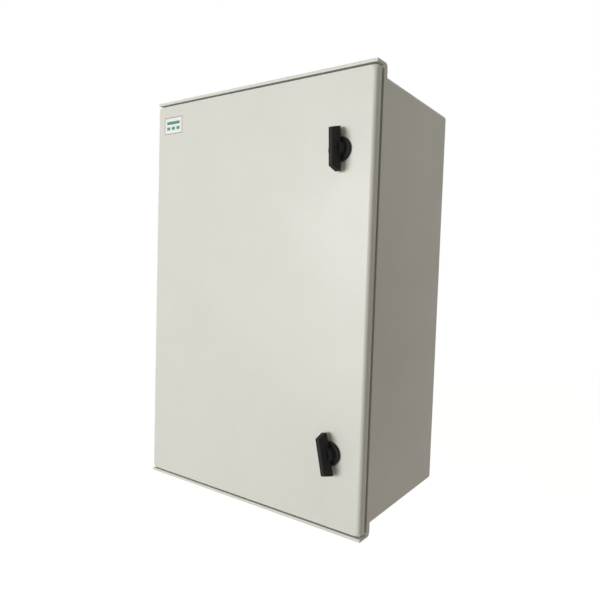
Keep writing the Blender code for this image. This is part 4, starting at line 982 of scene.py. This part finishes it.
def make_world():
    """White behind the object, and a plain soft light on it."""
    world = bpy.data.worlds.new("studio")
    bpy.context.scene.world = world
    world.use_nodes = True
    tree = world.node_tree
    back = tree.nodes["Background"]
    shown = seen(tree)
    tone = add(tree, "Mix", {0: shown, 6: linear("FFF1DF"), 7: (1, 1, 1, 1)}, data_type="RGBA")
    strength = add(tree, "MapRange", {"Value": shown, "To Min": AMBIENT, "To Max": 1.0})
    tree.links.new(tone.outputs[2], back.inputs["Color"])
    tree.links.new(strength.outputs["Result"], back.inputs["Strength"])


def make_floor():
    """A pale floor that takes the object's shadow and fades into the white background."""
    bpy.ops.object.select_all(action="DESELECT")
    bpy.ops.mesh.primitive_plane_add(size=FLOOR_SIZE, location=(0, 0, cad_box[0].z - FLOOR_DROP))
    floor = started("floor")
    look = bpy.data.materials.new("pale_floor")
    look.use_nodes = True
    tree = look.node_tree
    tree.nodes.remove(tree.nodes["Principled BSDF"])
    paint = add(tree, "BsdfDiffuse", {"Color": linear("E8E8E6")})
    glow = add(tree, "Emission", {"Color": (1, 1, 1, 1), "Strength": FLOOR_GLOW})
    lit = add(tree, "AddShader", {0: paint.outputs[0], 1: glow.outputs[0]})
    white = add(tree, "Emission", {"Color": (1, 1, 1, 1), "Strength": 1.0})
    away = add(tree, "VectorMath", {0: add(tree, "TexCoord").outputs["Object"]}, operation="LENGTH")
    fade = add(tree, "MapRange", {"Value": away.outputs["Value"], "From Min": FLOOR_FADE[0],
                                  "From Max": FLOOR_FADE[1]}, interpolation_type="SMOOTHSTEP")
    shown = add(tree, "MixShader", {0: fade.outputs["Result"], 1: lit.outputs[0], 2: white.outputs[0]})
    mix = add(tree, "MixShader", {0: seen(tree), 1: paint.outputs[0], 2: shown.outputs[0]})
    tree.links.new(mix.outputs[0], tree.nodes["Material Output"].inputs["Surface"])
    floor.data.materials.append(look)


make_case()
make_door()
reskin("door_gasket", "door_seal", foam, "door", "seal_foam", 0.5)
make_sticker()
for side in ("upper", "lower"):
    make_lock(side)
    reskin(f"hinge_pin_{side}", f"hinge_rod_{side}", stainless, "case", "stainless_steel", 0.4)
    reskin(f"din_rail_{side}", f"hat_rail_{side}", rail_zinc, "case", "zinc_plated_steel", 0.25)
    for end in ("left", "right"):
        reskin(f"rail_stop_{side}_{end}", f"end_stop_{side}_{end}", carrier_plastic, "case",
               "carrier_thermoplastic", 0.6)
reskin("mounting_plate", "back_plate", zinc, "case", "zinc_plated_steel", 0.4)
make_screws()
make_clamps()
make_fuses()
reskin("comb_busbar", "comb", copper, "case", "copper", 0.3)
make_arrester()
make_breaker()
make_bar("earth_bar", "earth_rail", BAR_ACROSS)
make_bar("negative_bar", "negative_rail", -BAR_ACROSS)
reskin("negative_bar_support", "bar_support", support_resin, "case", "support_resin", 0.4)
make_glands([f"string_gland_{i}" for i in range(1, 7)], thread=10)
make_glands(["output_gland_1", "output_gland_2"], thread=12.5)
make_glands(["earth_gland"], thread=8)

make_camera()
make_key()
make_world()
make_floor()

bpy.context.scene.view_settings.view_transform = "Standard"
